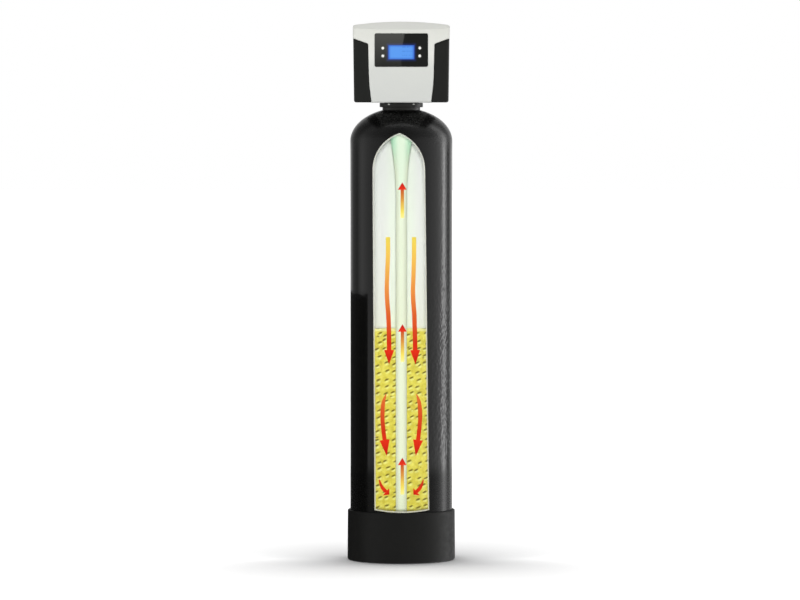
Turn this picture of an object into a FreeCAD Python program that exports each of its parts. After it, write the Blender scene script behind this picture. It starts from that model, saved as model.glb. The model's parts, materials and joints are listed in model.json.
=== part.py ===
import FreeCAD, Part
import math
import os

# Iron removal filter, in millimetres. Z is up, the front faces -Y, and the origin is
# on the floor under the axis of the tank.

V = FreeCAD.Vector
X_AXIS = V(1, 0, 0)
Y_AXIS = V(0, 1, 0)
Z_AXIS = V(0, 0, 1)

# Pressure tank
tank_diameter = 309.0
tank_straight = 1154.6
dome_height = 101.0
winding_wall = 4.0
liner_wall = 4.0
tank_lift = 14.0

# Neck insert in the top of the tank
neck_bore = 73.0
collar_diameter = 114.0
collar_rise = 8.5
neck_flange_diameter = 138.0
neck_flange_drop = 20.0

# Window cut through the front of the tank
window_width = 158.0
window_foot_width = 165.0
window_shift = -7.5
window_foot_shift = 1.8
window_tip_shift = -5.0
window_above_boot = 7.2
window_sill_sag = 6.5
window_below_seam = 85.6
window_arch_rise = 111.0
gasket_width = 4.0
pane_thickness = 4.0

# Boot
boot_height = 153.0
boot_wall = 7.0
boot_clearance = 1.0
boot_flare = 0.8
boot_rim_round = 3.5
boot_inner_round = 2.1
boot_foot_round = 6.5
boot_floor = 5.0
boot_floor_width = 50.0
boot_ribs = 8
boot_rib_thickness = 5.0
boot_hub_radius = 62.0
boot_hub_wall = 6.0

# What the tank holds
gravel_depth = 113.0
bed_depth = 563.0
section_offset = 4.0
riser_diameter = 33.4
riser_wall = 3.4
riser_foot_gap = 50.0
basket_diameter = 54.0
basket_wall = 2.5
basket_height = 70.0
basket_slots = 12
basket_slot = 2.5
basket_lift = 8.0

# Funnel round the top of the riser
funnel_length = 163.0
funnel_mouth_diameter = 69.6
funnel_wall = 2.5
funnel_lip = 0.8
funnel_flare = 1.6
funnel_collar = 54.0
funnel_slots = 12
funnel_slot = 6.0
funnel_slot_height = 30.0

# Control valve
thread_clearance = 0.3
thread_length = 30.0
valve_flange_diameter = 131.0
valve_flange_thickness = 13.4
flange_chamfer = 1.5
pedestal_foot_diameter = 104.0
pedestal_top_diameter = 84.0
barrel_rise = 62.6
barrel_bore = 66.0
barrel_wall = 11.0
barrel_end_wall = 15.0
barrel_collar_diameter = 108.0
barrel_collar_length = 10.0
valve_front = 76.0
riser_socket_depth = 33.0
annulus_inner_diameter = 44.0
annulus_outer_diameter = 60.0
annulus_depth = 56.0
waterway_diameter = 24.0
passage_diameter = 16.0
pedestal_shoulder = 6.0
ring_squeeze = 0.6

# Piston, its stack of seals and cages, and the end plug
plug_flange_thickness = 6.0
plug_length = 12.0
cage_length = 22.0
cage_count = 4
cage_wall = 7.0
cage_windows = 6
cage_window_width = 14.0
cage_rim = 4.0
seal_length = 5.0
piston_diameter = 48.0
piston_waist_diameter = 34.0
piston_length = 56.0
piston_land = 12.0
piston_rest_gap = 2.0
piston_stroke = 30.0
rod_diameter = 12.0
rod_margin = 16.0
lip_clearance = 0.3
seal_lip = 2.0
land_chamfer = 1.0
rod_nose = 1.5
ring_thickness = 3.0

# Drive
gear_module = 1.5
pressure_angle = 20.0
gear_dedendum = 1.25
main_teeth = 54
wheel_teeth = 42
small_teeth = 14
pinion_teeth = 12
gear_mesh_gap = 0.25
gear_backlash = 0.35
gear_train_angle = 40.0
motor_train_angle = -24.0
bracket_thickness = 4.0
bracket_gap = 1.0
main_face_width = 8.0
wheel_face_width = 6.0
gear_layer_gap = 1.0
hub_diameter = 28.0
hub_length = 36.0
turn_clearance = 0.3
axle_diameter = 6.0
axle_clip = 1.2
axle_clip_reach = 1.5
axle_end = 4.0
bearing_clearance = 0.1
web_holes = 6
bracket_margin = 2.0
axle_pad_radius = 9.0
web_inset = 1.0
motor_diameter = 34.0
motor_length = 44.0
motor_shaft_diameter = 4.0
motor_boss_wall = 3.0
motor_chamfer = 2.0
motor_cap = 3.0
motor_bearing = 12.0
motor_screw_inset = 5.0
motor_screw_depth = 6.0
pinion_overlap = 0.6

# Ports at the rear
port_spacing = 84.0
port_diameter = 44.0
port_bore = 26.0
port_drop = 8.0
port_reach = 112.0
manifold_offset = 28.0
boss_spacing = 68.0
boss_rise = 60.0
boss_diameter = 28.0
boss_bore = 16.0
boss_front = -20.0
boss_rear = 96.0
boss_neck_diameter = 22.0
plate_post_rise = 20.0
plate_screw_depth = 10.0

# Injector, air intake and drain
cap_length = 14.0
cap_chamfer = 3.0
cap_spigot = 6.0
plug_head = 6.0
plug_chamfer = 2.0
plug_spigot = 8.0
nozzle_bore = 3.0
nozzle_flange = 6.0
nozzle_length = 18.0
nozzle_root_diameter = 10.0
nozzle_tip_diameter = 6.0
throat_gap = 2.0
throat_length = 20.0
throat_mouth_diameter = 8.0
throat_bore = 5.0
check_stem = 14.0
check_body = 12.0
check_step = 3.0
check_cap = 28.0
check_bore = 6.0
check_floor = 8.0
drain_spigot = 10.0
drain_bore = 10.0
drain_washer = 3.0
drain_washer_bore = 5.0
drain_stub = 34.0
drain_stub_taper = 3.0
drain_hose_diameter = 16.0

# Flow meter
impeller_clearance = 1.0
impeller_length = 16.0
impeller_blades = 6
impeller_twist = 35.0
meter_inset = 36.0
spider_length = 5.0
spider_arms = 3
meter_pin_diameter = 3.0
meter_hub_wall = 3.0
blade_thickness = 1.2
spider_gap = 1.0
spider_rim = 2.0
spider_arm = 2.0

# Bypass and pipe adapters
nut_diameter = 56.0
nut_length = 22.0
nut_grips = 12
nut_lip = 4.0
nut_chamfer = 1.5
nut_flute_radius = 3.0
nut_flute_depth = 1.8
tail_diameter = 36.0
tail_flange = 5.0
gasket_thickness = 3.0
housing_diameter = 54.0
housing_height = 52.0
housing_reach = 38.0
bypass_length = 84.0
pipe_thread_length = 24.0
cross_diameter = 32.0
cross_wall = 5.0
housing_floor = 4.0
rotor_diameter = 38.0
rotor_bore = 24.0
stem_diameter = 16.0
cap_thickness = 8.0
cap_edge = 2.0
handle_gap = 1.0
handle_boss_wall = 3.0
handle_round = 4.0
handle_shoulder_round = 3.0
handle_tip_round = 2.0
handle_length = 54.0
handle_width = 17.0
handle_thickness = 11.0
adapter_diameter = 33.4
adapter_bore = 26.0
adapter_reach = 40.0
adapter_chamfer = 1.0

# Cover of the valve
cover_gap = 0.6
cover_width = 285.2
cover_lean = 0.74
cover_side_height = 232.6
cover_crown = 9.4
cover_front = 137.0
cover_rear = 82.0
cover_wall = 3.0
cover_bow = 6.0
cover_round = 7.5
cover_top_round = 8.0
cover_least_round = 1.5
fillet_margin = 0.4
brow_drop = 13.5
brow_depth = 30.0
slot_width = 112.0
wing_recess = 0.6
wing_wall = 4.0
wing_lap = 6.0
wing_gap = 0.3
wing_inner_foot = 91.0
wing_inner_knee = 98.4
wing_knee_height = 60.0
wing_edge_radius = 600.0
wing_overrun = 20.0
wing_inner_top = 101.0
wing_top_height = 175.0
wing_top_slope = 0.39
wing_top_round = 6.0
wing_bevel = 2.2

# Display, buttons and board
panel_width = 160.0
panel_height = 100.0
panel_round = 5.0
panel_centre_height = 157.5
panel_proud = 0.6
panel_seat = 1.8
panel_fit = 0.3
screen_width = 80.0
screen_height = 43.0
screen_drop = 6.5
screen_border = 4.0
screen_fit = 0.2
screen_round = 1.0
button_diameter = 8.0
button_travel = 0.8
button_inset = 24.6
button_drop = 5.7
button_pitch = 23.6
button_proud = 0.9
button_flange = 2.0
button_chamfer = 0.8
button_rest_gap = 0.8
switch_diameter = 6.0
switch_height = 2.0
button_clearance = 0.3
board_margin = 6.0
board_round = 3.0
board_thickness = 1.6
board_back = 22.0
chip_size = 18.0
chip_thickness = 3.0
chip_drop = 22.0
header_length = 28.0
header_height = 8.0
header_depth = 7.0
header_offset = 44.0
header_drop = 34.0
standoff_diameter = 8.0
standoff_bond = 0.5
standoff_screw_depth = 8.0
board_inset = 6.0

# Rear plate
plate_thickness = 3.0
plate_clearance = 0.4
plate_post_diameter = 12.0
plate_hole_clearance = 0.5
plate_post_spacing = 56.0
socket_diameter = 12.0
socket_inset = 45.0
socket_rise = 40.0
socket_depth = 16.0
socket_rim = 2.0
socket_bore = 5.8
socket_floor = 4.0
socket_pin_diameter = 2.0

# Fasteners
barrel_screw_count = 6
screw_diameter = 5.0
screw_head_diameter = 9.0
screw_head_height = 3.5
small_screw_diameter = 3.0
small_head_diameter = 5.6
small_head_height = 2.2
screw_slot_share = 1.2
screw_slot_width_share = 0.3

# Length by which a cutting tool runs past the shape that it cuts
overrun = 5.0

# Radii and levels worked out from the driving dimensions
tank_radius = tank_diameter / 2
low_seam = tank_lift + dome_height
high_seam = low_seam + tank_straight
collar_radius = collar_diameter / 2
riser_radius = riser_diameter / 2


def dome_level(radius, wall):
    """Height above the seam of the dome's surface, at the given distance from the axis."""
    share = radius / (tank_radius - wall)
    return (dome_height - wall) * math.sqrt(1 - share * share)


tank_floor = tank_lift + winding_wall + liner_wall
neck_top = high_seam + dome_level(collar_radius, 0) + collar_rise
stub_foot = neck_top - thread_length
flange_top = neck_top + valve_flange_thickness
barrel_z = flange_top + barrel_rise
port_z = barrel_z - port_drop
cover_foot = flange_top + cover_gap
gravel_top = tank_floor + gravel_depth
bed_top = gravel_top + bed_depth
bore_radius = barrel_bore / 2
barrel_radius = bore_radius + barrel_wall
plug_inner = -valve_front + plug_length
stack_length = (cage_count + 1) * seal_length + cage_count * cage_length
bore_end = plug_inner + stack_length
barrel_rear = bore_end + barrel_end_wall
plug_front = -valve_front - plug_flange_thickness
bracket_front = plug_front - bracket_thickness
main_rear = bracket_front - bracket_gap
main_front = main_rear - main_face_width
wheel_rear = main_front - gear_layer_gap
wheel_front = wheel_rear - wheel_face_width
hub_front = plug_front - hub_length
riser_ring_z = stub_foot + riser_socket_depth / 2
button_spacing = panel_width - 2 * button_inset
board_width = panel_width - 2 * board_margin
board_height = panel_height - 2 * board_margin
board_front = -cover_front + board_back


# Basic shapes

def at(radius, height):
    """Point in the half plane that turned profiles are drawn in."""
    return V(radius, 0, height)


def rod(radius, length, base, axis=Y_AXIS):
    return Part.makeCylinder(radius, length, base, axis)


def tube(outer, inner, length, base, axis=Y_AXIS):
    return rod(outer, length, base, axis).cut(rod(inner, length, base, axis))


def box_between(low, high):
    size = high - low
    return Part.makeBox(size.x, size.y, size.z, low)


def joined(shapes):
    first = shapes[0]
    if len(shapes) == 1:
        return first
    return first.fuse(shapes[1:]).removeSplitter()


def turned_edges(edges):
    """Solid of revolution round Z from edges drawn with at()."""
    wire = Part.Wire(Part.__sortEdges__(edges))
    solid = Part.Face(wire).revolve(V(0, 0, 0), Z_AXIS, 360)
    if solid.Volume < 0:
        solid.reverse()
    return solid


def polyline(points):
    return [Part.LineSegment(a, b).toShape() for a, b in zip(points, points[1:])]


def turned(profile, base=V(0, 0, 0), axis=Z_AXIS):
    """Solid of revolution from (radius, distance) corners, set at base along axis."""
    points = [at(radius, distance) for radius, distance in profile]
    solid = turned_edges(polyline(points + points[:1]))
    solid.Placement = FreeCAD.Placement(base, FreeCAD.Rotation(Z_AXIS, axis))
    return solid


def outline(corners):
    """Closed wire through (point, radius) corners; each corner is rounded to its radius."""
    starts, ends, arcs = [], [], []
    count = len(corners)
    for index, (point, radius) in enumerate(corners):
        before = (corners[index - 1][0] - point).normalize()
        after = (corners[(index + 1) % count][0] - point).normalize()
        if radius <= 0:
            starts.append(point)
            ends.append(point)
            arcs.append(None)
            continue
        half = before.getAngle(after) / 2
        reach = radius / math.tan(half)
        bisector = (before + after).normalize()
        centre = point + bisector * (radius / math.sin(half))
        starts.append(point + before * reach)
        ends.append(point + after * reach)
        arcs.append(Part.Arc(starts[-1], centre - bisector * radius, ends[-1]).toShape())
    edges = []
    for index in range(count):
        if arcs[index]:
            edges.append(arcs[index])
        following = starts[(index + 1) % count]
        if ends[index].distanceToPoint(following) > 1e-6:
            edges.append(Part.LineSegment(ends[index], following).toShape())
    return Part.Wire(edges)


def prism(wire, direction):
    return Part.Face(wire).extrude(direction)


def rounded_rectangle(width, height, radius, centre):
    """Wire of a rounded rectangle in the XZ plane."""
    corners = [
        (centre + V(sx * width / 2, 0, sz * height / 2), radius)
        for sx, sz in ((-1, -1), (1, -1), (1, 1), (-1, 1))
    ]
    return outline(corners)


def around_z(shape, count):
    """Copies of a shape, evenly turned about the tank's axis."""
    return turned_copies(shape, count, V(0, 0, 0), Z_AXIS)


def turned_copies(shape, count, centre, axis):
    copies = []
    for index in range(count):
        copy = shape.copy()
        copy.rotate(centre, axis, 360 * index / count)
        copies.append(copy)
    return copies


def save(name, shape):
    shape.exportStep("parts/%s.step" % name)


# Pressure tank

def dome_arc(wall, seam, way, hole, rim=None):
    """Part of a dome's section, from its rim to a hole in its pole; way is 1 up, -1 down."""
    radius = tank_radius - wall
    height = dome_height - wall
    start = math.acos(rim / radius) if rim else 0
    ellipse = Part.Ellipse(at(radius, seam), at(0, seam + way * height), at(0, seam))
    return Part.Arc(ellipse, start, math.acos(hole / radius)).toBSpline().toShape()


def vessel(outer_wall, inner_wall, hole):
    """Domed shell between two depths from the tank's outside, with a hole in its top."""
    edges = []
    for wall in (outer_wall, inner_wall):
        radius = tank_radius - wall
        edges.append(dome_arc(wall, low_seam, -1, 0))
        edges.append(Part.LineSegment(at(radius, low_seam), at(radius, high_seam)).toShape())
        edges.append(dome_arc(wall, high_seam, 1, hole))
    outer_top = high_seam + dome_level(hole, outer_wall)
    inner_top = high_seam + dome_level(hole, inner_wall)
    edges.append(Part.LineSegment(at(hole, outer_top), at(hole, inner_top)).toShape())
    outer_pole = low_seam - dome_height + outer_wall
    inner_pole = low_seam - dome_height + inner_wall
    edges.append(Part.LineSegment(at(0, outer_pole), at(0, inner_pole)).toShape())
    return turned_edges(edges)


def filled_vessel(wall, top):
    """Solid that fills the tank below a level, at a depth from the tank's outside."""
    radius = tank_radius - wall
    edges = [
        dome_arc(wall, low_seam, -1, 0),
        Part.LineSegment(at(radius, low_seam), at(radius, top)).toShape(),
        Part.LineSegment(at(radius, top), at(0, top)).toShape(),
        Part.LineSegment(at(0, top), at(0, low_seam - dome_height + wall)).toShape(),
    ]
    return turned_edges(edges)


def arch_side(foot, tip):
    """Quarter of a pointed arch that leaves its foot upright and rises to its tip."""
    reach = tip.x - foot.x
    rise = tip.z - foot.z
    radius = (reach * reach + rise * rise) / (2 * reach)
    half_turn = math.asin(rise / abs(radius)) / 2
    haunch = V(radius * (1 - math.cos(half_turn)), 0, abs(radius) * math.sin(half_turn))
    return Part.Arc(foot, foot + haunch, tip).toShape()


def window_wire():
    """Tall window, wider at its foot, with a pointed arch above and a sagging sill below."""
    half = window_width / 2
    half_foot = window_foot_width / 2
    sill = boot_height + window_above_boot
    spring = high_seam - window_below_seam
    y = -tank_radius - 1
    left_foot = V(window_foot_shift - half_foot, y, sill)
    right_foot = V(window_foot_shift + half_foot, y, sill)
    left_spring = V(window_shift - half, y, spring)
    right_spring = V(window_shift + half, y, spring)
    sag = V(window_foot_shift, y, sill - window_sill_sag)
    tip = V(window_tip_shift, y, spring + window_arch_rise)
    edges = [
        Part.Arc(left_foot, sag, right_foot).toShape(),
        Part.LineSegment(right_foot, right_spring).toShape(),
        arch_side(right_spring, tip),
        arch_side(left_spring, tip),
        Part.LineSegment(left_spring, left_foot).toShape(),
    ]
    return Part.Wire(Part.sortEdges(edges)[0])


def window_tool(inset):
    """Block that stands for the window, drawn in by an inset, back to the tank's axis."""
    face = Part.Face(window_wire())
    if inset > 0:
        face = face.makeOffset2D(-inset)
    return face.extrude(Y_AXIS * tank_radius)


def make_tank():
    opening = window_tool(0)
    winding = vessel(0, winding_wall, collar_radius).cut(opening)
    liner = vessel(winding_wall, winding_wall + liner_wall, collar_radius).cut(opening)
    pane_shell = vessel(0, pane_thickness, collar_radius)
    wall_shell = vessel(0, winding_wall + liner_wall, collar_radius)
    save("tank_winding", winding)
    save("tank_liner", liner)
    save("sight_window", pane_shell.common(window_tool(gasket_width)))
    save("window_gasket", wall_shell.common(opening.cut(window_tool(gasket_width))))


def make_neck_insert():
    """Collar with a flange whose top follows the inside of the upper dome."""
    wall = winding_wall + liner_wall
    bore = neck_bore / 2
    rim = neck_flange_diameter / 2
    foot = high_seam + dome_level(rim, wall) - neck_flange_drop
    edges = [dome_arc(wall, high_seam, 1, collar_radius, rim)]
    edges += polyline([
        at(collar_radius, high_seam + dome_level(collar_radius, wall)),
        at(collar_radius, neck_top),
        at(bore + ring_thickness, neck_top),
        at(bore, neck_top - ring_thickness),
        at(bore, foot),
        at(rim, foot),
        at(rim, high_seam + dome_level(rim, wall)),
    ])
    save("neck_insert", turned_edges(edges))


def make_boot():
    """Moulded boot: a flared wall, a ring foot, and ribs that carry the lower dome."""
    inner = tank_radius + boot_clearance
    outer = inner + boot_wall
    foot = outer + boot_flare
    floor_edge = foot - boot_floor_width
    section = outline([
        (at(inner, boot_height), boot_inner_round),
        (at(outer, boot_height), boot_rim_round),
        (at(foot, 0), boot_foot_round),
        (at(floor_edge, 0), 0),
        (at(floor_edge, boot_floor), 0),
        (at(inner, boot_floor), 0),
    ])
    shell = turned_edges(section.Edges)
    hub_outer = boot_hub_radius + boot_hub_wall
    hub = rod(hub_outer, low_seam, V(0, 0, 0), Z_AXIS)
    hub = hub.cut(rod(boot_hub_radius, low_seam, V(0, 0, boot_floor), Z_AXIS))
    rib = box_between(
        V(hub_outer - 1, -boot_rib_thickness / 2, 0),
        V(inner + boot_wall / 2, boot_rib_thickness / 2, low_seam),
    )
    cradle = joined([hub] + around_z(rib, boot_ribs))
    cradle = cradle.cut(filled_vessel(0, low_seam + 1))
    save("base_boot", joined([shell, cradle]))


# Contents of the tank

def front_space(level):
    """Space in front of the plane that the bed is cut to."""
    return box_between(V(-tank_radius, -tank_radius, 0), V(tank_radius, -section_offset, level))


def make_bed():
    wall = winding_wall + liner_wall
    hollow = rod(riser_radius, bed_top, V(0, 0, 0), Z_AXIS)
    basket = rod(basket_diameter / 2, basket_height, V(0, 0, tank_floor + basket_lift), Z_AXIS)
    gravel = filled_vessel(wall, gravel_top).cut(front_space(gravel_top))
    gravel = gravel.cut(joined([basket, riser_blank()]))
    media = filled_vessel(wall, bed_top).cut(front_space(bed_top))
    media = media.cut(box_between(V(-tank_radius, -tank_radius, 0),
                                  V(tank_radius, tank_radius, gravel_top)))
    save("gravel_bed", gravel)
    save("filter_media", media.cut(hollow))


def riser_blank():
    """The riser's outside as a solid bar, from the basket to its top in the valve."""
    foot = tank_floor + riser_foot_gap
    return rod(riser_radius, stub_foot + riser_socket_depth - foot, V(0, 0, foot), Z_AXIS)


def make_riser():
    foot = tank_floor + riser_foot_gap
    length = stub_foot + riser_socket_depth - foot
    bore = rod(riser_radius - riser_wall, length, V(0, 0, foot), Z_AXIS)
    save("riser_tube", riser_blank().cut(bore))


def make_basket():
    """Slotted basket at the foot of the riser."""
    outer = basket_diameter / 2
    inner = outer - basket_wall
    foot = tank_floor + basket_lift
    top = foot + basket_height
    shell = turned([
        (0, foot), (outer, foot), (outer, top), (riser_radius, top),
        (riser_radius, top - 2 * basket_wall), (inner, top - 2 * basket_wall),
        (inner, foot + basket_wall), (0, foot + basket_wall),
    ])
    slot = box_between(
        V(inner - 1, -basket_slot / 2, foot + 3 * basket_wall),
        V(outer + 1, basket_slot / 2, top - 4 * basket_wall),
    )
    save("lower_distributor", shell.cut(tools_of(around_z(slot, basket_slots))))


def tools_of(shapes):
    """Shapes gathered into one, to be cut away together."""
    return Part.makeCompound(shapes)


def funnel_radius(height):
    """Outer radius of the funnel at a height above its narrow end."""
    start = riser_radius + funnel_lip
    share = height / funnel_length
    return start + (funnel_mouth_diameter / 2 - start) * share ** funnel_flare


def curve_through(points):
    spline = Part.BSplineCurve()
    spline.interpolate(points)
    return spline.toShape()


def make_funnel():
    """Flared funnel on the riser, with a slotted collar under the valve."""
    collar_foot = stub_foot - funnel_collar
    foot = collar_foot - funnel_length
    steps = 6
    heights = [funnel_length * index / steps for index in range(steps + 1)]
    outside = [at(funnel_radius(height), foot + height) for height in heights]
    inside = [point - V(funnel_wall, 0, 0) for point in outside if point.x - funnel_wall > riser_radius]
    mouth = funnel_mouth_diameter / 2
    edges = [curve_through(outside), curve_through(inside)]
    edges += polyline([
        outside[-1], at(mouth, stub_foot), at(mouth - funnel_wall, stub_foot), inside[-1],
    ])
    edges += polyline([inside[0], at(riser_radius, inside[0].z), at(riser_radius, foot), outside[0]])
    body = turned_edges(edges)
    slot_foot = collar_foot + (funnel_collar - funnel_slot_height) / 2
    slot = box_between(
        V(mouth - funnel_wall - 1, -funnel_slot / 2, slot_foot),
        V(mouth + 1, funnel_slot / 2, slot_foot + funnel_slot_height),
    )
    save("upper_diffuser", body.cut(tools_of(around_z(slot, funnel_slots))))


# Control valve

def side(sign, spacing):
    return sign * spacing / 2


def boss_centre(sign, y):
    return V(side(sign, boss_spacing), y, barrel_z + boss_rise)


def screw_circle():
    """Places of the six screws round the front of the barrel, clear of the gears."""
    radius = (barrel_collar_diameter / 2 + barrel_radius) / 2
    places = []
    for index in range(barrel_screw_count):
        angle = math.radians(gear_train_angle) + math.pi * (2 * index + 1) / barrel_screw_count
        places.append(V(radius * math.cos(angle), 0, barrel_z + radius * math.sin(angle)))
    return places


def plate_posts():
    z = barrel_z + plate_post_rise
    return [V(side(sign, plate_post_spacing), barrel_rear, z) for sign in (-1, 1)]


def valve_outside():
    flange = valve_flange_diameter / 2
    stub = neck_bore / 2 - thread_clearance
    foot = pedestal_foot_diameter / 2
    top = pedestal_top_diameter / 2
    base = turned([
        (0, stub_foot), (stub, stub_foot), (stub, neck_top), (flange - flange_chamfer, neck_top),
        (flange, neck_top + flange_chamfer), (flange, flange_top - flange_chamfer),
        (flange - flange_chamfer, flange_top), (foot, flange_top),
        (top, barrel_z - barrel_radius + pedestal_shoulder), (top, barrel_z - bore_radius),
        (0, barrel_z - bore_radius),
    ])
    axis_front = V(0, -valve_front, barrel_z)
    barrel = rod(barrel_radius, barrel_rear + valve_front, axis_front)
    collar = rod(barrel_collar_diameter / 2, barrel_collar_length, axis_front)
    bodies = [base, barrel, collar]
    half = port_spacing / 2
    radius = port_diameter / 2
    bodies.append(rod(radius, port_spacing, V(-half, manifold_offset, port_z), X_AXIS))
    for sign in (-1, 1):
        elbow = V(sign * half, manifold_offset, port_z)
        bodies.append(Part.makeSphere(radius, elbow))
        bodies.append(rod(radius, port_reach - manifold_offset, elbow))
        bodies.append(rod(boss_diameter / 2, boss_rear - boss_front, boss_centre(sign, boss_front)))
        neck_foot = V(0, manifold_offset, barrel_z)
        neck = boss_centre(sign, manifold_offset) - neck_foot
        bodies.append(rod(boss_neck_diameter / 2, neck.Length, neck_foot, neck))
    for post in plate_posts():
        start = post - Y_AXIS * (2 * barrel_end_wall)
        length = cover_rear - plate_thickness - start.y
        bodies.append(rod(plate_post_diameter / 2, length, start))
    return joined(bodies)


def valve_hollows():
    bore = rod(bore_radius, bore_end + valve_front, V(0, -valve_front, barrel_z))
    socket = rod(riser_radius + thread_clearance, riser_socket_depth, V(0, 0, stub_foot), Z_AXIS)
    waterway = rod(waterway_diameter / 2, barrel_z - stub_foot, V(0, 0, stub_foot), Z_AXIS)
    annulus = tube(annulus_outer_diameter / 2, annulus_inner_diameter / 2, annulus_depth,
                   V(0, 0, stub_foot), Z_AXIS)
    ring_groove = rod(riser_radius + ring_thickness, ring_thickness, V(0, 0, riser_ring_z), Z_AXIS)
    hollows = [bore, socket, waterway, annulus, ring_groove]
    lift_x = (annulus_outer_diameter + annulus_inner_diameter) / 4
    lift_radius = (annulus_outer_diameter - annulus_inner_diameter) / 4
    for sign in (-1, 1):
        hollows.append(rod(lift_radius, barrel_z - stub_foot, V(sign * lift_x, 0, stub_foot), Z_AXIS))
        elbow = V(side(sign, port_spacing), manifold_offset, port_z)
        hollows.append(rod(port_bore / 2, port_reach - manifold_offset + port_bore / 4,
                           elbow - Y_AXIS * port_bore / 4))
        hollows.append(rod(passage_diameter / 2, port_spacing / 2, elbow, X_AXIS * -sign))
        hollows.append(rod(boss_bore / 2, boss_rear - boss_front, boss_centre(sign, boss_front)))
    for place in screw_circle():
        hollows.append(rod(screw_diameter / 2, 2 * barrel_collar_length, place - Y_AXIS * valve_front))
    for post in plate_posts():
        start = V(post.x, cover_rear - plate_thickness - plate_screw_depth, post.z)
        hollows.append(rod(small_screw_diameter / 2, plate_screw_depth, start))
    return hollows


def make_valve_body():
    body = valve_outside()
    for hollow in valve_hollows():
        body = body.cut(hollow)
    save("valve_body", body)
    stub = neck_bore / 2 - thread_clearance
    wide = neck_bore / 2 + ring_thickness - ring_squeeze
    save("neck_o_ring", turned([
        (stub, neck_top), (wide, neck_top), (stub, neck_top - ring_thickness + ring_squeeze),
    ]))
    save("riser_o_ring", tube(riser_radius + ring_thickness, riser_radius, ring_thickness,
                              V(0, 0, riser_ring_z), Z_AXIS))


def make_seal_stack():
    """Seals and windowed cages in turn, from the end plug to the end of the bore."""
    lip = piston_diameter / 2 + lip_clearance
    cages, seals = [], []
    y = plug_inner
    seal_profile = [
        (lip, seal_length * 0.3), (lip + seal_lip, 0), (bore_radius, 0), (bore_radius, seal_length),
        (lip + seal_lip, seal_length), (lip, seal_length * 0.7),
    ]
    window = box_between(
        V(bore_radius - cage_wall - overrun, cage_rim, -cage_window_width / 2),
        V(bore_radius + overrun, cage_length - cage_rim, cage_window_width / 2),
    )
    for index in range(cage_count + 1):
        seals.append(turned(seal_profile, V(0, y, barrel_z), Y_AXIS))
        y += seal_length
        if index == cage_count:
            break
        cage = tube(bore_radius, bore_radius - cage_wall, cage_length, V(0, 0, 0))
        cage = cage.cut(tools_of(turned_copies(window, cage_windows, V(0, 0, 0), Y_AXIS)))
        cage.translate(V(0, y, barrel_z))
        cages.append(cage)
        y += cage_length
    save("seal_rings", Part.makeCompound(seals))
    save("spacer_cages", Part.makeCompound(cages))


def make_end_plug():
    shaft = rod_diameter / 2
    flange = barrel_collar_diameter / 2
    seal = shaft + ring_thickness
    plug_y = V(0, plug_front, barrel_z)
    thickness = plug_flange_thickness
    length = plug_length + thickness
    groove = thickness + (plug_length - ring_thickness) / 2
    groove_floor = bore_radius - ring_thickness
    plug = turned([
        (shaft + lip_clearance, 0), (flange, 0), (flange, thickness), (bore_radius, thickness),
        (bore_radius, groove), (groove_floor, groove), (groove_floor, groove + ring_thickness),
        (bore_radius, groove + ring_thickness), (bore_radius, length), (seal, length),
        (seal, length - ring_thickness),
        (shaft + lip_clearance, length - ring_thickness),
    ], plug_y, Y_AXIS)
    for place in screw_circle():
        plug = plug.cut(rod(screw_diameter / 2, length, place + Y_AXIS * plug_front))
    save("end_plug", plug)
    save("plug_o_ring", tube(bore_radius, bore_radius - ring_thickness, ring_thickness,
                             V(0, plug_front + groove, barrel_z)))
    save("rod_seal", tube(seal, shaft + lip_clearance, ring_thickness,
                          V(0, plug_front + length - ring_thickness, barrel_z)))


def make_piston():
    """Double-ended piston with two waists, and the threaded rod that pushes it."""
    land = piston_diameter / 2
    waist = piston_waist_diameter / 2
    hole = rod_diameter / 2
    span = (piston_length - 3 * piston_land) / 2
    y = plug_inner + piston_rest_gap
    profile = [(hole, 0)]
    for index in range(3):
        start = index * (piston_land + span)
        end = start + piston_land
        profile += [(land - land_chamfer, start), (land, start + land_chamfer)]
        profile += [(land, end - land_chamfer), (land - land_chamfer, end)]
        if index < 2:
            profile += [(waist, end), (waist, end + span)]
    profile.append((hole, piston_length))
    save("main_piston", turned(profile, V(0, y, barrel_z), Y_AXIS))
    rod_front = plug_front - piston_stroke - rod_margin
    length = y + piston_length - rod_front
    tip = hole - rod_nose
    save("piston_rod", turned([
        (0, 0), (tip, 0), (hole, rod_nose), (hole, length - rod_nose), (tip, length), (0, length),
    ], V(0, rod_front, barrel_z), Y_AXIS))


# Drive

def involute_points(teeth):
    """Corners of one tooth: half angle and radius from its root to its tip."""
    pitch = gear_module * teeth / 2
    pressure = math.radians(pressure_angle)
    base = pitch * math.cos(pressure)
    half_pitch = math.pi / (2 * teeth) - gear_backlash / (2 * pitch)
    opening = math.tan(pressure) - pressure
    tip = pitch + gear_module
    root = pitch - gear_dedendum * gear_module
    points = []
    for radius in (root, (pitch + root) / 2, pitch, (pitch + tip) / 2, tip):
        if radius <= base:
            angle = half_pitch + opening
        else:
            local = math.acos(base / radius)
            angle = half_pitch + opening - (math.tan(local) - local)
        points.append((angle, radius))
    return points


def gear_ring(teeth, phase, centre, width):
    """Toothed disc from its front face, centre, back along Y; phase is the angle of one tooth."""
    flank = involute_points(teeth)
    corners = []
    for index in range(teeth):
        middle = phase + 2 * math.pi * index / teeth
        both = [(middle - angle, radius) for angle, radius in flank]
        both += [(middle + angle, radius) for angle, radius in reversed(flank)]
        for angle, radius in both:
            corners.append(centre + V(radius * math.cos(angle), 0, radius * math.sin(angle)))
    return prism(Part.makePolygon(corners + corners[:1]), Y_AXIS * width)


def mesh_step(teeth_a, teeth_b, angle, centre):
    """Centre of a gear that meshes with another one in the given direction."""
    distance = gear_module * (teeth_a + teeth_b) / 2 + gear_mesh_gap
    return centre + V(distance * math.cos(angle), 0, distance * math.sin(angle))


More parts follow.
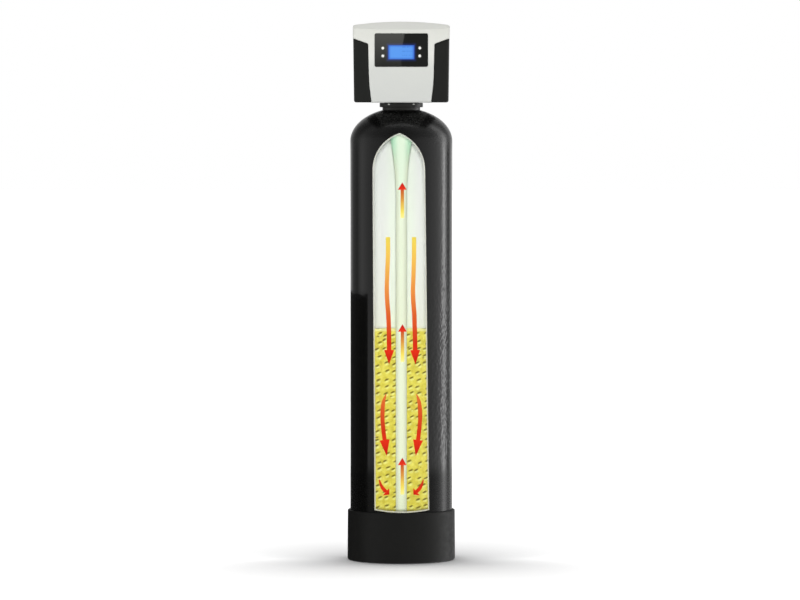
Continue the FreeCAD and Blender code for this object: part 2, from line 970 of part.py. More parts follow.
main_centre = V(0, 0, barrel_z)
train_angle = math.radians(gear_train_angle)
motor_angle = math.radians(motor_train_angle)
idler_centre = mesh_step(main_teeth, small_teeth, train_angle, main_centre)
motor_centre = mesh_step(wheel_teeth, pinion_teeth, motor_angle, idler_centre)


def make_main_gear():
    """Drive gear whose hub turns in the bracket and screws the rod in and out."""
    ring = gear_ring(main_teeth, train_angle, main_centre + Y_AXIS * main_front, main_face_width)
    hub = rod(hub_diameter / 2, plug_front - hub_front, main_centre + Y_AXIS * hub_front)
    gear = joined([ring, hub])
    pitch = gear_module * main_teeth / 2
    rim = pitch - 2 * gear_module
    web_centre = (rim + hub_diameter / 2) / 2
    web_radius = (rim - hub_diameter / 2) / 2 - gear_module - web_inset
    hole = rod(web_radius, main_face_width, V(web_centre, main_front, barrel_z))
    gear = gear.cut(tools_of(turned_copies(hole, web_holes, main_centre, Y_AXIS)))
    bore = rod(rod_diameter / 2 + turn_clearance, hub_length, main_centre + Y_AXIS * hub_front)
    save("main_gear", gear.cut(bore))


def make_reduction_gear():
    small_gap = train_angle + math.pi + math.pi / small_teeth
    small = gear_ring(small_teeth, small_gap, idler_centre + Y_AXIS * wheel_rear,
                      main_rear - wheel_rear)
    wheel = gear_ring(wheel_teeth, motor_angle, idler_centre + Y_AXIS * wheel_front,
                      wheel_face_width)
    gear = joined([small, wheel])
    bore = rod(axle_diameter / 2 + bearing_clearance, main_rear - wheel_front,
               idler_centre + Y_AXIS * wheel_front)
    save("reduction_gear", gear.cut(bore))
    clip_front = wheel_front - gear_layer_gap - axle_clip
    axle = joined([
        rod(axle_diameter / 2, plug_front - wheel_front + axle_end,
            idler_centre + Y_AXIS * (wheel_front - axle_end)),
        rod(axle_diameter / 2 + axle_clip_reach, axle_clip, idler_centre + Y_AXIS * clip_front),
    ])
    save("gear_axle", axle)


def make_motor():
    face = plug_front
    shaft = motor_shaft_diameter / 2
    boss = shaft + motor_boss_wall
    outer = motor_diameter / 2
    pinion_gap = motor_angle + math.pi + math.pi / pinion_teeth
    front = wheel_front - gear_layer_gap
    body = joined([
        turned([
            (0, 0), (outer - motor_chamfer, 0), (outer, motor_chamfer),
            (outer, motor_length - motor_chamfer), (outer - motor_chamfer, motor_length),
            (0, motor_length),
        ], motor_centre + Y_AXIS * face, Y_AXIS),
        rod(boss, bracket_thickness, motor_centre + Y_AXIS * bracket_front),
        rod(boss, motor_cap, motor_centre + Y_AXIS * (face + motor_length)),
    ])
    bearing = rod(shaft + bearing_clearance, motor_bearing, motor_centre + Y_AXIS * bracket_front)
    body = body.cut(bearing)
    for place in motor_screw_places():
        body = body.cut(rod(small_screw_diameter / 2, motor_screw_depth, place + Y_AXIS * face))
    save("drive_motor", body)
    ring = gear_ring(pinion_teeth, pinion_gap, motor_centre + Y_AXIS * front,
                     wheel_rear + pinion_overlap - front)
    shaft_end = bracket_front + motor_bearing - gear_layer_gap
    save("motor_pinion", joined([ring, rod(shaft, shaft_end - front, motor_centre + Y_AXIS * front)]))


def motor_screw_places():
    offset = motor_diameter / 2 - motor_screw_inset
    return [V(motor_centre.x, 0, motor_centre.z + way * offset) for way in (-1, 1)]


def pan_screw(place, head_y, length, radius, head_radius, head_height):
    """Screw with its head in front of head_y and its shank running back from there."""
    start = V(place.x, head_y, place.z)
    head = rod(head_radius, head_height, start - Y_AXIS * head_height)
    shank = rod(radius, length, start)
    length = head_radius * screw_slot_share
    width = head_radius * screw_slot_width_share
    slot = Part.makeBox(length, head_height / 2, width, start - V(length / 2, head_height, width / 2))
    return joined([head, shank]).cut(slot)


def make_bracket():
    """Plate that holds the gears and the motor in front of the barrel."""
    radius = barrel_collar_diameter / 2
    motor_pad = motor_diameter / 2 + bracket_margin
    parts = [rod(radius, bracket_thickness, main_centre + Y_AXIS * bracket_front)]
    parts.append(rod(motor_pad, bracket_thickness, motor_centre + Y_AXIS * bracket_front))
    parts.append(rod(axle_pad_radius, bracket_thickness, idler_centre + Y_AXIS * bracket_front))
    web = outline([
        (V(0, bracket_front, barrel_z - radius * 0.8), 0),
        (V(motor_centre.x, bracket_front, motor_centre.z - motor_pad + web_inset), 0),
        (V(motor_centre.x, bracket_front, motor_centre.z + motor_pad - web_inset), 0),
        (V(idler_centre.x, bracket_front, idler_centre.z + axle_pad_radius - web_inset), 0),
        (V(0, bracket_front, barrel_z + radius * 0.8), 0),
    ])
    parts.append(prism(web, Y_AXIS * bracket_thickness))
    plate = joined(parts)
    depth = bracket_thickness
    plate = plate.cut(rod(hub_diameter / 2 + turn_clearance, depth, main_centre + Y_AXIS * bracket_front))
    plate = plate.cut(rod(axle_diameter / 2, depth, idler_centre + Y_AXIS * bracket_front))
    boss = motor_shaft_diameter / 2 + motor_boss_wall
    plate = plate.cut(rod(boss, depth, motor_centre + Y_AXIS * bracket_front))
    for place in screw_circle():
        plate = plate.cut(rod(screw_diameter / 2, depth, place + Y_AXIS * bracket_front))
    for place in motor_screw_places():
        plate = plate.cut(rod(small_screw_diameter / 2, depth, place + Y_AXIS * bracket_front))
    save("drive_bracket", plate)


def make_drive_screws():
    reach = bracket_thickness + plug_flange_thickness + barrel_collar_length
    head = screw_head_diameter / 2
    barrel_screws = [
        pan_screw(place, bracket_front, reach, screw_diameter / 2, head, screw_head_height)
        for place in screw_circle()
    ]
    save("barrel_screws", Part.makeCompound(barrel_screws))
    small = small_head_diameter / 2
    depth = bracket_thickness + motor_screw_depth - 1
    motor_screws = [
        pan_screw(place, bracket_front, depth, small_screw_diameter / 2, small, small_head_height)
        for place in motor_screw_places()
    ]
    save("motor_screws", Part.makeCompound(motor_screws))


# Injector, drain and air intake

def make_injector():
    """Cap, nozzle and throat of the injector in one boss, and the plug of the other boss."""
    bore = boss_bore / 2
    start = boss_centre(-1, boss_front)
    cap = boss_diameter / 2 - 1
    save("injector_cap", turned([
        (0, -cap_length), (cap - cap_chamfer, -cap_length), (cap, cap_chamfer - cap_length), (cap, 0),
        (bore, 0), (bore, cap_spigot), (0, cap_spigot),
    ], start, Y_AXIS))
    root = cap_spigot + nozzle_flange
    tip = cap_spigot + nozzle_length
    save("injector_nozzle", turned([
        (nozzle_bore / 2, cap_spigot), (bore, cap_spigot), (bore, root),
        (nozzle_root_diameter / 2, root), (nozzle_tip_diameter / 2, tip), (nozzle_bore / 2, tip),
    ], start, Y_AXIS))
    mouth = tip + throat_gap
    end = mouth + throat_length
    save("injector_throat", turned([
        (throat_mouth_diameter / 2, mouth), (bore, mouth), (bore, end), (throat_mouth_diameter / 2, end),
        (throat_bore / 2, (mouth + end) / 2),
    ], start, Y_AXIS))
    save("drain_plug", turned([
        (0, -plug_head), (cap - plug_chamfer, -plug_head), (cap, plug_chamfer - plug_head), (cap, 0),
        (bore, 0), (bore, plug_spigot), (0, plug_spigot),
    ], boss_centre(1, boss_front), Y_AXIS))


def make_air_check():
    """Check valve that lets air in behind the injector."""
    bore = boss_bore / 2
    outer = boss_diameter / 2 - 1
    neck = outer - check_step
    hole = check_bore / 2
    save("air_check_valve", turned([
        (0, -check_stem), (bore, -check_stem), (bore, 0), (outer, 0), (outer, check_body),
        (neck, check_body + check_step), (neck, check_cap - plug_chamfer),
        (neck - plug_chamfer, check_cap), (hole, check_cap), (hole, check_floor), (0, check_floor),
    ], boss_centre(-1, boss_rear), Y_AXIS))


def make_drain():
    """Elbow with a hose stub on the drain boss, and the washer that limits its flow."""
    bore = boss_bore / 2
    outer = boss_diameter / 2 - 2
    hole = drain_bore / 2
    hose = drain_hose_diameter / 2
    end = boss_centre(1, boss_rear)
    start = end - Y_AXIS * drain_spigot
    save("drain_flow_washer", tube(bore, drain_washer_bore / 2, drain_washer,
                                   start - Y_AXIS * drain_washer))
    rise = outer + drain_stub_taper + 1
    corner = end + Y_AXIS * rise
    taper = drain_stub_taper
    elbow = joined([
        rod(bore, drain_spigot, start),
        rod(outer, rise, end),
        Part.makeSphere(outer, corner),
        rod(outer, outer + 2, corner, X_AXIS),
        turned([
            (0, 0), (hose, 0), (hose, drain_stub - taper), (hose - taper / 2, drain_stub),
            (0, drain_stub),
        ], corner + X_AXIS * outer, X_AXIS),
    ])
    elbow = elbow.cut(rod(hole, drain_spigot + rise, start))
    elbow = elbow.cut(Part.makeSphere(hole, corner))
    save("drain_elbow", elbow.cut(rod(hole, outer + drain_stub, corner, X_AXIS)))


# Flow meter in the outlet port

def meter_centre():
    return V(side(1, port_spacing), port_reach - meter_inset, port_z)


def make_meter():
    """Axial impeller on a pin between two spiders."""
    pin = meter_pin_diameter / 2
    bore = port_bore / 2
    hub = pin + meter_hub_wall
    centre = meter_centre()
    tip = bore - impeller_clearance
    half = blade_thickness / 2
    slices = []
    steps = 4
    for index in range(steps + 1):
        y = impeller_length * index / steps
        section = Part.makePolygon([
            V(pin + 1, y, -half), V(tip, y, -half), V(tip, y, half), V(pin + 1, y, half),
            V(pin + 1, y, -half),
        ])
        section.rotate(V(0, 0, 0), Y_AXIS, impeller_twist * index / steps)
        slices.append(section)
    blades = turned_copies(Part.makeLoft(slices, True, True), impeller_blades, V(0, 0, 0), Y_AXIS)
    impeller = joined([rod(hub, impeller_length, V(0, 0, 0))] + blades)
    impeller = impeller.cut(rod(pin + bearing_clearance, impeller_length, V(0, 0, 0)))
    impeller.translate(centre)
    save("meter_impeller", impeller)
    reach = impeller_length + 2 * (spider_length + spider_gap)
    start = centre - Y_AXIS * (spider_length + spider_gap)
    parts = [rod(pin, reach, start)]
    for offset in (0, reach - spider_length):
        arm = box_between(V(0, 0, -spider_arm / 2), V(bore - 1, spider_length, spider_arm / 2))
        arms = turned_copies(arm, spider_arms, V(0, 0, 0), Y_AXIS)
        rim = tube(bore, bore - spider_rim, spider_length, V(0, 0, 0))
        spider = joined([rim, rod(hub - 1, spider_length, V(0, 0, 0))] + arms)
        spider.translate(start + Y_AXIS * offset)
        parts.append(spider)
    save("meter_spider", joined(parts))


# Bypass and pipe connections

bypass_front = port_reach + gasket_thickness
rotor_y = bypass_front + housing_reach
bypass_rear = bypass_front + bypass_length
housing_foot = port_z - housing_height / 2
housing_top = port_z + housing_height / 2


def bypass_places():
    return [V(side(sign, port_spacing), 0, port_z) for sign in (-1, 1)]


def grip_nut(mouth):
    """Ribbed nut: threaded over a port from its mouth, with a lip that holds a flanged tail."""
    outer = nut_diameter / 2
    inner = port_diameter / 2
    tail = tail_diameter / 2 + thread_clearance
    seat = nut_length - nut_lip
    shell = turned([
        (inner, 0), (outer - nut_chamfer, 0), (outer, nut_chamfer),
        (outer, nut_length - nut_chamfer), (outer - nut_chamfer, nut_length), (tail, nut_length),
        (tail, seat), (inner, seat),
    ], mouth - Y_AXIS * (seat - tail_flange - gasket_thickness), Y_AXIS)
    flute_centre = V(outer + nut_flute_radius - nut_flute_depth, 0, 0)
    flute = rod(nut_flute_radius, 2 * nut_length, mouth + flute_centre - Y_AXIS * nut_length)
    return shell.cut(tools_of(turned_copies(flute, nut_grips, mouth, Y_AXIS)))


def make_couplings():
    nuts, gaskets = [], []
    for place in bypass_places():
        for mouth_y in (port_reach, bypass_rear):
            mouth = place + Y_AXIS * mouth_y
            nuts.append(grip_nut(mouth))
            gaskets.append(tube(port_diameter / 2 - 1, port_bore / 2, gasket_thickness, mouth))
    save("coupling_nuts", Part.makeCompound(nuts))
    save("coupling_gaskets", Part.makeCompound(gaskets))


def make_bypass():
    """Two straight passages with a rotor housing in each, and a cross passage between them."""
    tail = tail_diameter / 2
    mouth = port_diameter / 2
    bore = port_bore / 2
    housing = housing_diameter / 2
    bodies, hollows = [], []
    for place in bypass_places():
        front = place + Y_AXIS * bypass_front
        bodies.append(rod(mouth, tail_flange, front))
        bodies.append(rod(tail, bypass_length, front))
        thread_front = place + Y_AXIS * (bypass_rear - pipe_thread_length)
        bodies.append(rod(mouth, pipe_thread_length, thread_front))
        foot = V(place.x, rotor_y, housing_foot)
        bodies.append(rod(housing, housing_height, foot, Z_AXIS))
        hollows.append(rod(bore, bypass_length, front))
        chamber_foot = foot + Z_AXIS * housing_floor
        hollows.append(rod(rotor_diameter / 2 + turn_clearance, housing_height, chamber_foot, Z_AXIS))
    cross = V(-side(1, port_spacing), rotor_y, port_z)
    bodies.append(rod(cross_diameter / 2, port_spacing, cross, X_AXIS))
    hollows.append(rod(cross_diameter / 2 - cross_wall, port_spacing, cross, X_AXIS))
    body = joined(bodies)
    for hollow in hollows:
        body = body.cut(hollow)
    save("bypass_body", body)


def handle_outline(x, foot):
    """Pointer-shaped handle seen from above, its point towards the valve."""
    half = handle_length / 2
    width = handle_width / 2
    shoulder = rotor_y - half + handle_width
    return outline([
        (V(x - width, rotor_y + half, foot), handle_round),
        (V(x - width, shoulder, foot), handle_shoulder_round),
        (V(x, rotor_y - half, foot), handle_tip_round),
        (V(x + width, shoulder, foot), handle_shoulder_round),
        (V(x + width, rotor_y + half, foot), handle_round),
    ])


def make_rotors():
    """Rotor plugs with their handles, and the caps that keep them in."""
    radius = rotor_diameter / 2
    stem = stem_diameter / 2
    foot = housing_foot + housing_floor + turn_clearance
    plug_top = housing_top - turn_clearance
    handle_foot = housing_top + cap_thickness + handle_gap
    outer = housing_diameter / 2
    caps = []
    for place, name in zip(bypass_places(), ("inlet_rotor", "outlet_rotor")):
        base = V(place.x, rotor_y, foot)
        top = V(place.x, rotor_y, handle_foot)
        hole = rod(rotor_bore / 2, 2 * radius, V(place.x, rotor_y - radius, port_z))
        save(name, joined([
            rod(radius, plug_top - foot, base, Z_AXIS).cut(hole),
            rod(stem, handle_foot - foot, base, Z_AXIS).cut(hole),
            prism(handle_outline(place.x, handle_foot), Z_AXIS * handle_thickness),
            rod(stem + handle_boss_wall, handle_thickness, top, Z_AXIS),
        ]))
        caps.append(turned([
            (stem + turn_clearance, 0), (outer, 0), (outer, cap_thickness - cap_edge),
            (outer - cap_edge, cap_thickness), (stem + turn_clearance, cap_thickness),
        ], V(place.x, rotor_y, housing_top)))
    save("rotor_caps", Part.makeCompound(caps))


def make_adapters():
    """Pipe adapters that leave the bypass at the rear."""
    start = bypass_rear + gasket_thickness
    outer = adapter_diameter / 2
    bore = adapter_bore / 2
    rim = port_diameter / 2
    for place, name in zip(bypass_places(), ("inlet_adapter", "outlet_adapter")):
        save(name, turned([
            (bore, 0), (rim, 0), (rim, tail_flange), (outer, tail_flange),
            (outer, adapter_reach - adapter_chamfer), (outer - adapter_chamfer, adapter_reach),
            (bore, adapter_reach),
        ], place + Y_AXIS * start, Y_AXIS))


# Cover of the valve

def cover_block(inset, behind=0.0):
    """The cover's outer form drawn in by an inset, with its rear moved back by behind."""
    lean = math.tan(math.radians(cover_lean))
    half_foot = cover_width / 2 - inset + lean * inset
    half_top = cover_width / 2 - inset + lean * (cover_side_height - inset)
    foot = cover_foot + inset
    top = cover_foot + cover_side_height - inset
    foot_round = max(cover_round - inset, cover_least_round)
    top_round = max(cover_top_round - inset, cover_least_round)
    slope = math.atan2(2 * cover_crown, half_top)
    crown_reach = math.hypot(half_top, 2 * cover_crown) - 2 * top_round
    front = -cover_front + inset
    section = outline([
        (V(-half_foot, front, foot), foot_round),
        (V(half_foot, front, foot), foot_round),
        (V(half_top, front, top), top_round),
        (V(0, front, top + 2 * cover_crown), crown_reach / math.tan(slope)),
        (V(-half_top, front, top), top_round),
    ])
    rear = cover_rear + behind
    block = prism(section, Y_AXIS * (rear - front))
    block = block.common(bowed_envelope(front, rear + 1))
    block = block.cut(brow_tool(inset, front))
    return soften(block, foot_round - fillet_margin)


def bowed_envelope(front, rear):
    """Upright block whose front bows forward in plan."""
    half = cover_width / 2
    radius = (half * half + cover_bow * cover_bow) / (2 * cover_bow)
    reach = half + 2 * cover_round
    back = radius - math.sqrt(radius * radius - reach * reach)
    z = cover_foot - cover_side_height / 2
    left = V(-reach, front + back, z)
    right = V(reach, front + back, z)
    edges = [Part.Arc(left, V(0, front, z), right).toShape()]
    edges += polyline([right, V(reach, rear, z), V(-reach, rear, z), left])
    return prism(Part.Wire(edges), Z_AXIS * (2 * cover_side_height))


def brow_tool(inset, front):
    """Wedge that slopes the top of the cover back from its front face."""
    rise = brow_drop + cover_crown
    slope = rise / brow_depth
    drawn_in = inset * (math.hypot(1, slope) - slope)
    foot = cover_foot + cover_side_height - brow_drop - drawn_in
    ahead = 2 * cover_round
    reach = cover_width
    wedge = outline([
        (V(-reach, front - ahead, foot - ahead * slope), 0),
        (V(-reach, front + 2 * brow_depth, foot + 2 * rise), 0),
        (V(-reach, front - ahead, foot + 2 * rise), 0),
    ])
    return prism(wedge, X_AXIS * (2 * reach))


def soften(block, radius):
    """Round the upright front corners and the foot of the cover's front."""
    edges = [
        edge for edge in block.Edges
        if edge.BoundBox.ZLength > cover_side_height / 2 and edge.BoundBox.YMax < -cover_front / 2
    ]
    return block.makeFillet(radius, edges)


def wing_wire(growth, y):
    """Outline of the left wing's region seen from the front, grown by an amount."""
    foot = cover_foot - wing_overrun
    top = cover_foot + wing_top_height
    flare = (wing_inner_knee - wing_inner_foot) / wing_knee_height
    inner_foot = -wing_inner_foot + flare * wing_overrun + growth
    inner_knee = -wing_inner_knee + growth
    inner_top = -wing_inner_top + growth
    far = -cover_width / 2 - wing_overrun
    far_z = top + growth + (inner_top - far) * wing_top_slope
    return outline([
        (V(far, y, foot), 0),
        (V(inner_foot, y, foot), 0),
        (V(inner_knee, y, cover_foot + wing_knee_height), wing_edge_radius),
        (V(inner_top, y, top + growth), wing_top_round),
        (V(far, y, far_z), 0),
    ])


def wing_region(growth):
    depth = cover_front + cover_rear + 2 * overrun
    return prism(wing_wire(growth, -cover_front - overrun), Y_AXIS * depth)


def wing_bevel_tool():
    """Flared mouth that bevels the cover's edge round a wing."""
    front = -cover_front - 1
    wide = wing_wire(wing_bevel + 1, front)
    narrow = wing_wire(0, front + cover_bow + overrun)
    return Part.makeLoft([wide, narrow], True, True)


def mirrored(shape):
    return shape.mirror(V(0, 0, 0), X_AXIS)


def make_cover():
    """T-shaped front cover: a closed crown, a tongue down the front and a slotted floor."""
    outside = cover_block(0)
    hollow = cover_block(cover_wall, overrun)
    shell = outside.cut(hollow)
    region = wing_region(0)
    bevel = wing_bevel_tool()
    for tool in (region, mirrored(region), bevel, mirrored(bevel)):
        shell = shell.cut(tool)
    half = slot_width / 2
    slot = box_between(
        V(-half, 0, cover_foot - overrun), V(half, cover_rear + overrun, cover_foot + overrun)
    )
    nose = rod(half, 2 * overrun, V(0, 0, cover_foot - overrun), Z_AXIS)
    shell = shell.cut(joined([slot, nose]))
    shell = shell.cut(outside.common(panel_prism(panel_fit)).cut(cover_block(panel_seat)))
    posts = []
    for place in board_corners():
        post = rod(standoff_diameter / 2, board_back, place - Y_AXIS * cover_front)
        posts.append(post.common(cover_block(cover_wall - standoff_bond, overrun)))
    shell = joined([shell] + posts)
    for place in board_corners():
        start = place + Y_AXIS * (board_front - standoff_screw_depth)
        shell = shell.cut(rod(small_screw_diameter / 2, standoff_screw_depth, start))
    front = -cover_front - overrun
    depth = cover_bow + cover_wall + 2 * overrun
    hole = rounded_rectangle(screen_width + 2 * screen_border, screen_height + 2 * screen_border,
                             screen_round, screen_centre() + Y_AXIS * front)
    shell = shell.cut(prism(hole, Y_AXIS * depth))
    reach = button_diameter / 2 + button_flange + 1
    for place in button_places():
        shell = shell.cut(rod(reach, depth, place + Y_AXIS * front))
    save("front_cover", shell)


def make_wings():
    skin = cover_block(wing_recess).cut(cover_block(wing_recess + wing_wall, overrun))
    visible = skin.common(wing_region(-wing_gap))
    lap = cover_block(cover_wall).cut(cover_block(wing_recess + wing_wall, overrun))
    lap = lap.common(wing_region(wing_lap))
    wing = joined([visible, lap])
    save("left_wing", wing)
    save("right_wing", mirrored(wing))


def panel_centre():
    return V(0, 0, cover_foot + panel_centre_height)


def screen_centre():
    return panel_centre() - V(0, 0, screen_drop)


def panel_prism(growth):
    centre = panel_centre() - Y_AXIS * (cover_front + overrun)
    wire = rounded_rectangle(panel_width + 2 * growth, panel_height + 2 * growth,
                             panel_round + growth, centre)
    return prism(wire, Y_AXIS * (cover_bow + 3 * overrun))


def board_corners():
    z = cover_foot + panel_centre_height
    return [
        V(sx * (board_width / 2 - board_inset), 0, z + sz * (board_height / 2 - board_inset))
        for sx in (-1, 1) for sz in (-1, 1)
    ]


def button_places():
    centre_z = cover_foot + panel_centre_height - button_drop
    return [
        V(side(sx, button_spacing), 0, centre_z + side(sz, button_pitch))
        for sx in (-1, 1) for sz in (1, -1)
    ]


def make_display():
    """Glossy panel with the screen module behind it."""
    plate = cover_block(-panel_proud).cut(cover_block(panel_seat))
    plate = plate.common(panel_prism(0))
    front = -cover_front - overrun
    depth = cover_bow + 2 * overrun
    centre = screen_centre()
    hole = rounded_rectangle(screen_width, screen_height, screen_round, centre + Y_AXIS * front)
    plate = plate.cut(prism(hole, Y_AXIS * depth))
    for place in button_places():
        hole = rod(button_diameter / 2 + button_clearance, depth, place + Y_AXIS * front)
        plate = plate.cut(hole)
    save("display_panel", plate)
    block_front = -cover_front + panel_seat + panel_proud
    block = rounded_rectangle(screen_width + screen_border, screen_height + screen_border,
                              screen_round, centre + Y_AXIS * block_front)
    glass = rounded_rectangle(screen_width - 2 * screen_fit, screen_height - 2 * screen_fit,
                              screen_round, centre - Y_AXIS * cover_front)
    save("lcd_module", joined([
        prism(block, Y_AXIS * (board_front - block_front)),
        prism(glass, Y_AXIS * (board_front + cover_front)),
    ]))


def make_buttons():
    """Buttons whose flanges rest behind the panel and whose stems reach the switches."""
    radius = button_diameter / 2
    bow_radius = (cover_width ** 2 / 4 + cover_bow ** 2) / (2 * cover_bow)
    back = board_front - switch_height - button_travel
    names = ("upper_left_button", "lower_left_button", "upper_right_button", "lower_right_button")
    for place, name in zip(button_places(), names):
        panel_face = -cover_front - panel_proud + place.x ** 2 / (2 * bow_radius)
        front = panel_face - button_proud
        length = back - front
        rest = button_proud + panel_proud + panel_seat + button_rest_gap
        flange = radius + button_flange
        save(name, turned([
            (0, 0), (radius - button_chamfer, 0), (radius, button_chamfer), (radius, rest),
            (flange, rest), (flange, rest + button_flange), (radius - 1, rest + button_flange),
            (radius - 1, length), (0, length),
        ], place + Y_AXIS * front, Y_AXIS))


def make_board():
    """Timer board on four posts of the cover, with a switch behind each button."""
    centre = panel_centre() + Y_AXIS * board_front
    plate = rounded_rectangle(board_width, board_height, board_round, centre)
    back = board_front + board_thickness
    parts = [prism(plate, Y_AXIS * board_thickness)]
    for place in button_places():
        start = place + Y_AXIS * (board_front - switch_height)
        parts.append(rod(switch_diameter / 2, switch_height, start))
    chip_centre = V(0, back, centre.z - chip_drop)
    chip_half = V(chip_size / 2, 0, chip_size / 2)
    parts.append(box_between(chip_centre - chip_half, chip_centre + chip_half + Y_AXIS * chip_thickness))
    header_centre = V(header_offset, back, centre.z - header_drop)
    header_half = V(header_length / 2, 0, header_height / 2)
    parts.append(box_between(header_centre - header_half,
                             header_centre + header_half + Y_AXIS * header_depth))
    body = joined(parts)
    for place in board_corners():
        hole = rod(small_screw_diameter / 2, board_thickness, place + Y_AXIS * board_front)
        body = body.cut(hole)
    save("circuit_board", body)
    screws = []
    for place in board_corners():
        screw = pan_screw(place, -back, board_thickness + standoff_screw_depth - 1,
                          small_screw_diameter / 2, small_head_diameter / 2, small_head_height)
        screw.rotate(V(place.x, 0, place.z), Z_AXIS, 180)
        screws.append(screw)
    save("board_screws", Part.makeCompound(screws))


# Rear plate

def make_back_plate():
    """Plate that closes the cover's rear, with holes for the ports and bosses."""
    plate_front = cover_rear - plate_thickness
    keep = box_between(
        V(-cover_width, plate_front, cover_foot - overrun),
        V(cover_width, cover_rear, cover_foot + 2 * cover_side_height),
    )
    plate = cover_block(wing_recess + wing_wall + plate_clearance).common(keep)
    holes = [(port_diameter / 2 + plate_hole_clearance, place) for place in bypass_places()]
    for sign in (-1, 1):
        holes.append((boss_diameter / 2 + plate_hole_clearance, boss_centre(sign, 0)))
    holes.append((socket_diameter / 2, socket_place()))
    holes += [(small_screw_diameter / 2, post) for post in plate_posts()]
    for radius, place in holes:
        plate = plate.cut(rod(radius, plate_thickness, V(place.x, plate_front, place.z)))
    save("back_plate", plate)
    save("power_socket", power_socket_solid(socket_place()))
    screws = []
    for post in plate_posts():
        screw = pan_screw(post, -cover_rear, plate_thickness + plate_screw_depth - 1,
                          small_screw_diameter / 2, small_head_diameter / 2, small_head_height)
        screw.rotate(V(post.x, 0, post.z), Z_AXIS, 180)
        screws.append(screw)
    save("back_plate_screws", Part.makeCompound(screws))


def socket_place():
    return V(socket_inset - cover_width / 2, cover_rear, cover_foot + socket_rise)


def power_socket_solid(place):
    """Round low-voltage inlet with its centre pin."""
    outer = socket_diameter / 2
    bore = socket_bore / 2
    floor = socket_floor - socket_depth
    shell = turned([
        (0, -socket_depth), (outer, -socket_depth), (outer, 0), (outer + socket_rim, 0),
        (outer + socket_rim, socket_rim), (bore, socket_rim), (bore, floor), (0, floor),
    ], place, Y_AXIS)
    pin_foot = place + Y_AXIS * (floor - 1)
    return joined([shell, rod(socket_pin_diameter / 2, 1 - floor, pin_foot)])


def main():
    os.makedirs("parts", exist_ok=True)
    make_tank()
    make_neck_insert()
    make_boot()
    make_bed()
    make_riser()
    make_basket()
    make_funnel()
    make_valve_body()
    make_seal_stack()
    make_end_plug()
    make_piston()
    make_main_gear()
    make_reduction_gear()
    make_motor()
    make_bracket()
    make_drive_screws()
    make_injector()
    make_air_check()
    make_drain()
    make_meter()
    make_couplings()
    make_bypass()
    make_rotors()
    make_adapters()
    make_cover()
    make_wings()
    make_display()
    make_buttons()
    make_board()
    make_back_plate()


main()
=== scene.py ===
import json
import math

import bpy
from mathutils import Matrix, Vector, noise


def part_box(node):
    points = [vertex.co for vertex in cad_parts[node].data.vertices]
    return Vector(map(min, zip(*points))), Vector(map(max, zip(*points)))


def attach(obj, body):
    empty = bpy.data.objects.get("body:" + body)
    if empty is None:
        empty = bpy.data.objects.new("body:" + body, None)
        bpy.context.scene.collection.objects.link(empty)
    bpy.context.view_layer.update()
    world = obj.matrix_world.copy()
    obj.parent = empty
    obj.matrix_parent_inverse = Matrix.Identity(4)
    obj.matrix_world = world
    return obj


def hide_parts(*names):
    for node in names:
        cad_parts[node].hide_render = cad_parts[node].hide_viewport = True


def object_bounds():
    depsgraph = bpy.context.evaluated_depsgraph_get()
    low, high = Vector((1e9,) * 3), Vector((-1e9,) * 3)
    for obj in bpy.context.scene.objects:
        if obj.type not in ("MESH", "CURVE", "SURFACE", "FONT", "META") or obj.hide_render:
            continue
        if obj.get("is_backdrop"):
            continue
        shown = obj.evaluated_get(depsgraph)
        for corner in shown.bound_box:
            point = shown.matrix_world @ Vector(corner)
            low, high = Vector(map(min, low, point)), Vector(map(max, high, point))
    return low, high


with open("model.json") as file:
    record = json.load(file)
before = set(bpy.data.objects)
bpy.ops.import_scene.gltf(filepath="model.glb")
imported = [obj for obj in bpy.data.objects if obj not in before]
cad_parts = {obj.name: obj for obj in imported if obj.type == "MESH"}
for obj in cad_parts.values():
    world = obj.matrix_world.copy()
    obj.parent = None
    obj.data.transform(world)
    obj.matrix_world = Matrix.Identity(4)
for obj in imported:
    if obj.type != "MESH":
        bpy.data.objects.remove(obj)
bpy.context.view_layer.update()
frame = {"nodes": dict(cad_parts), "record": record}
nodes = frame["nodes"]

MM = 0.001


# Colour and materials

def linear(red, green, blue):
    """Linear colour of an sRGB colour given as 0 to 255."""
    values = []
    for value in (red, green, blue):
        share = value / 255
        values.append(share / 12.92 if share <= 0.04045 else ((share + 0.055) / 1.055) ** 2.4)
    return (values[0], values[1], values[2], 1.0)


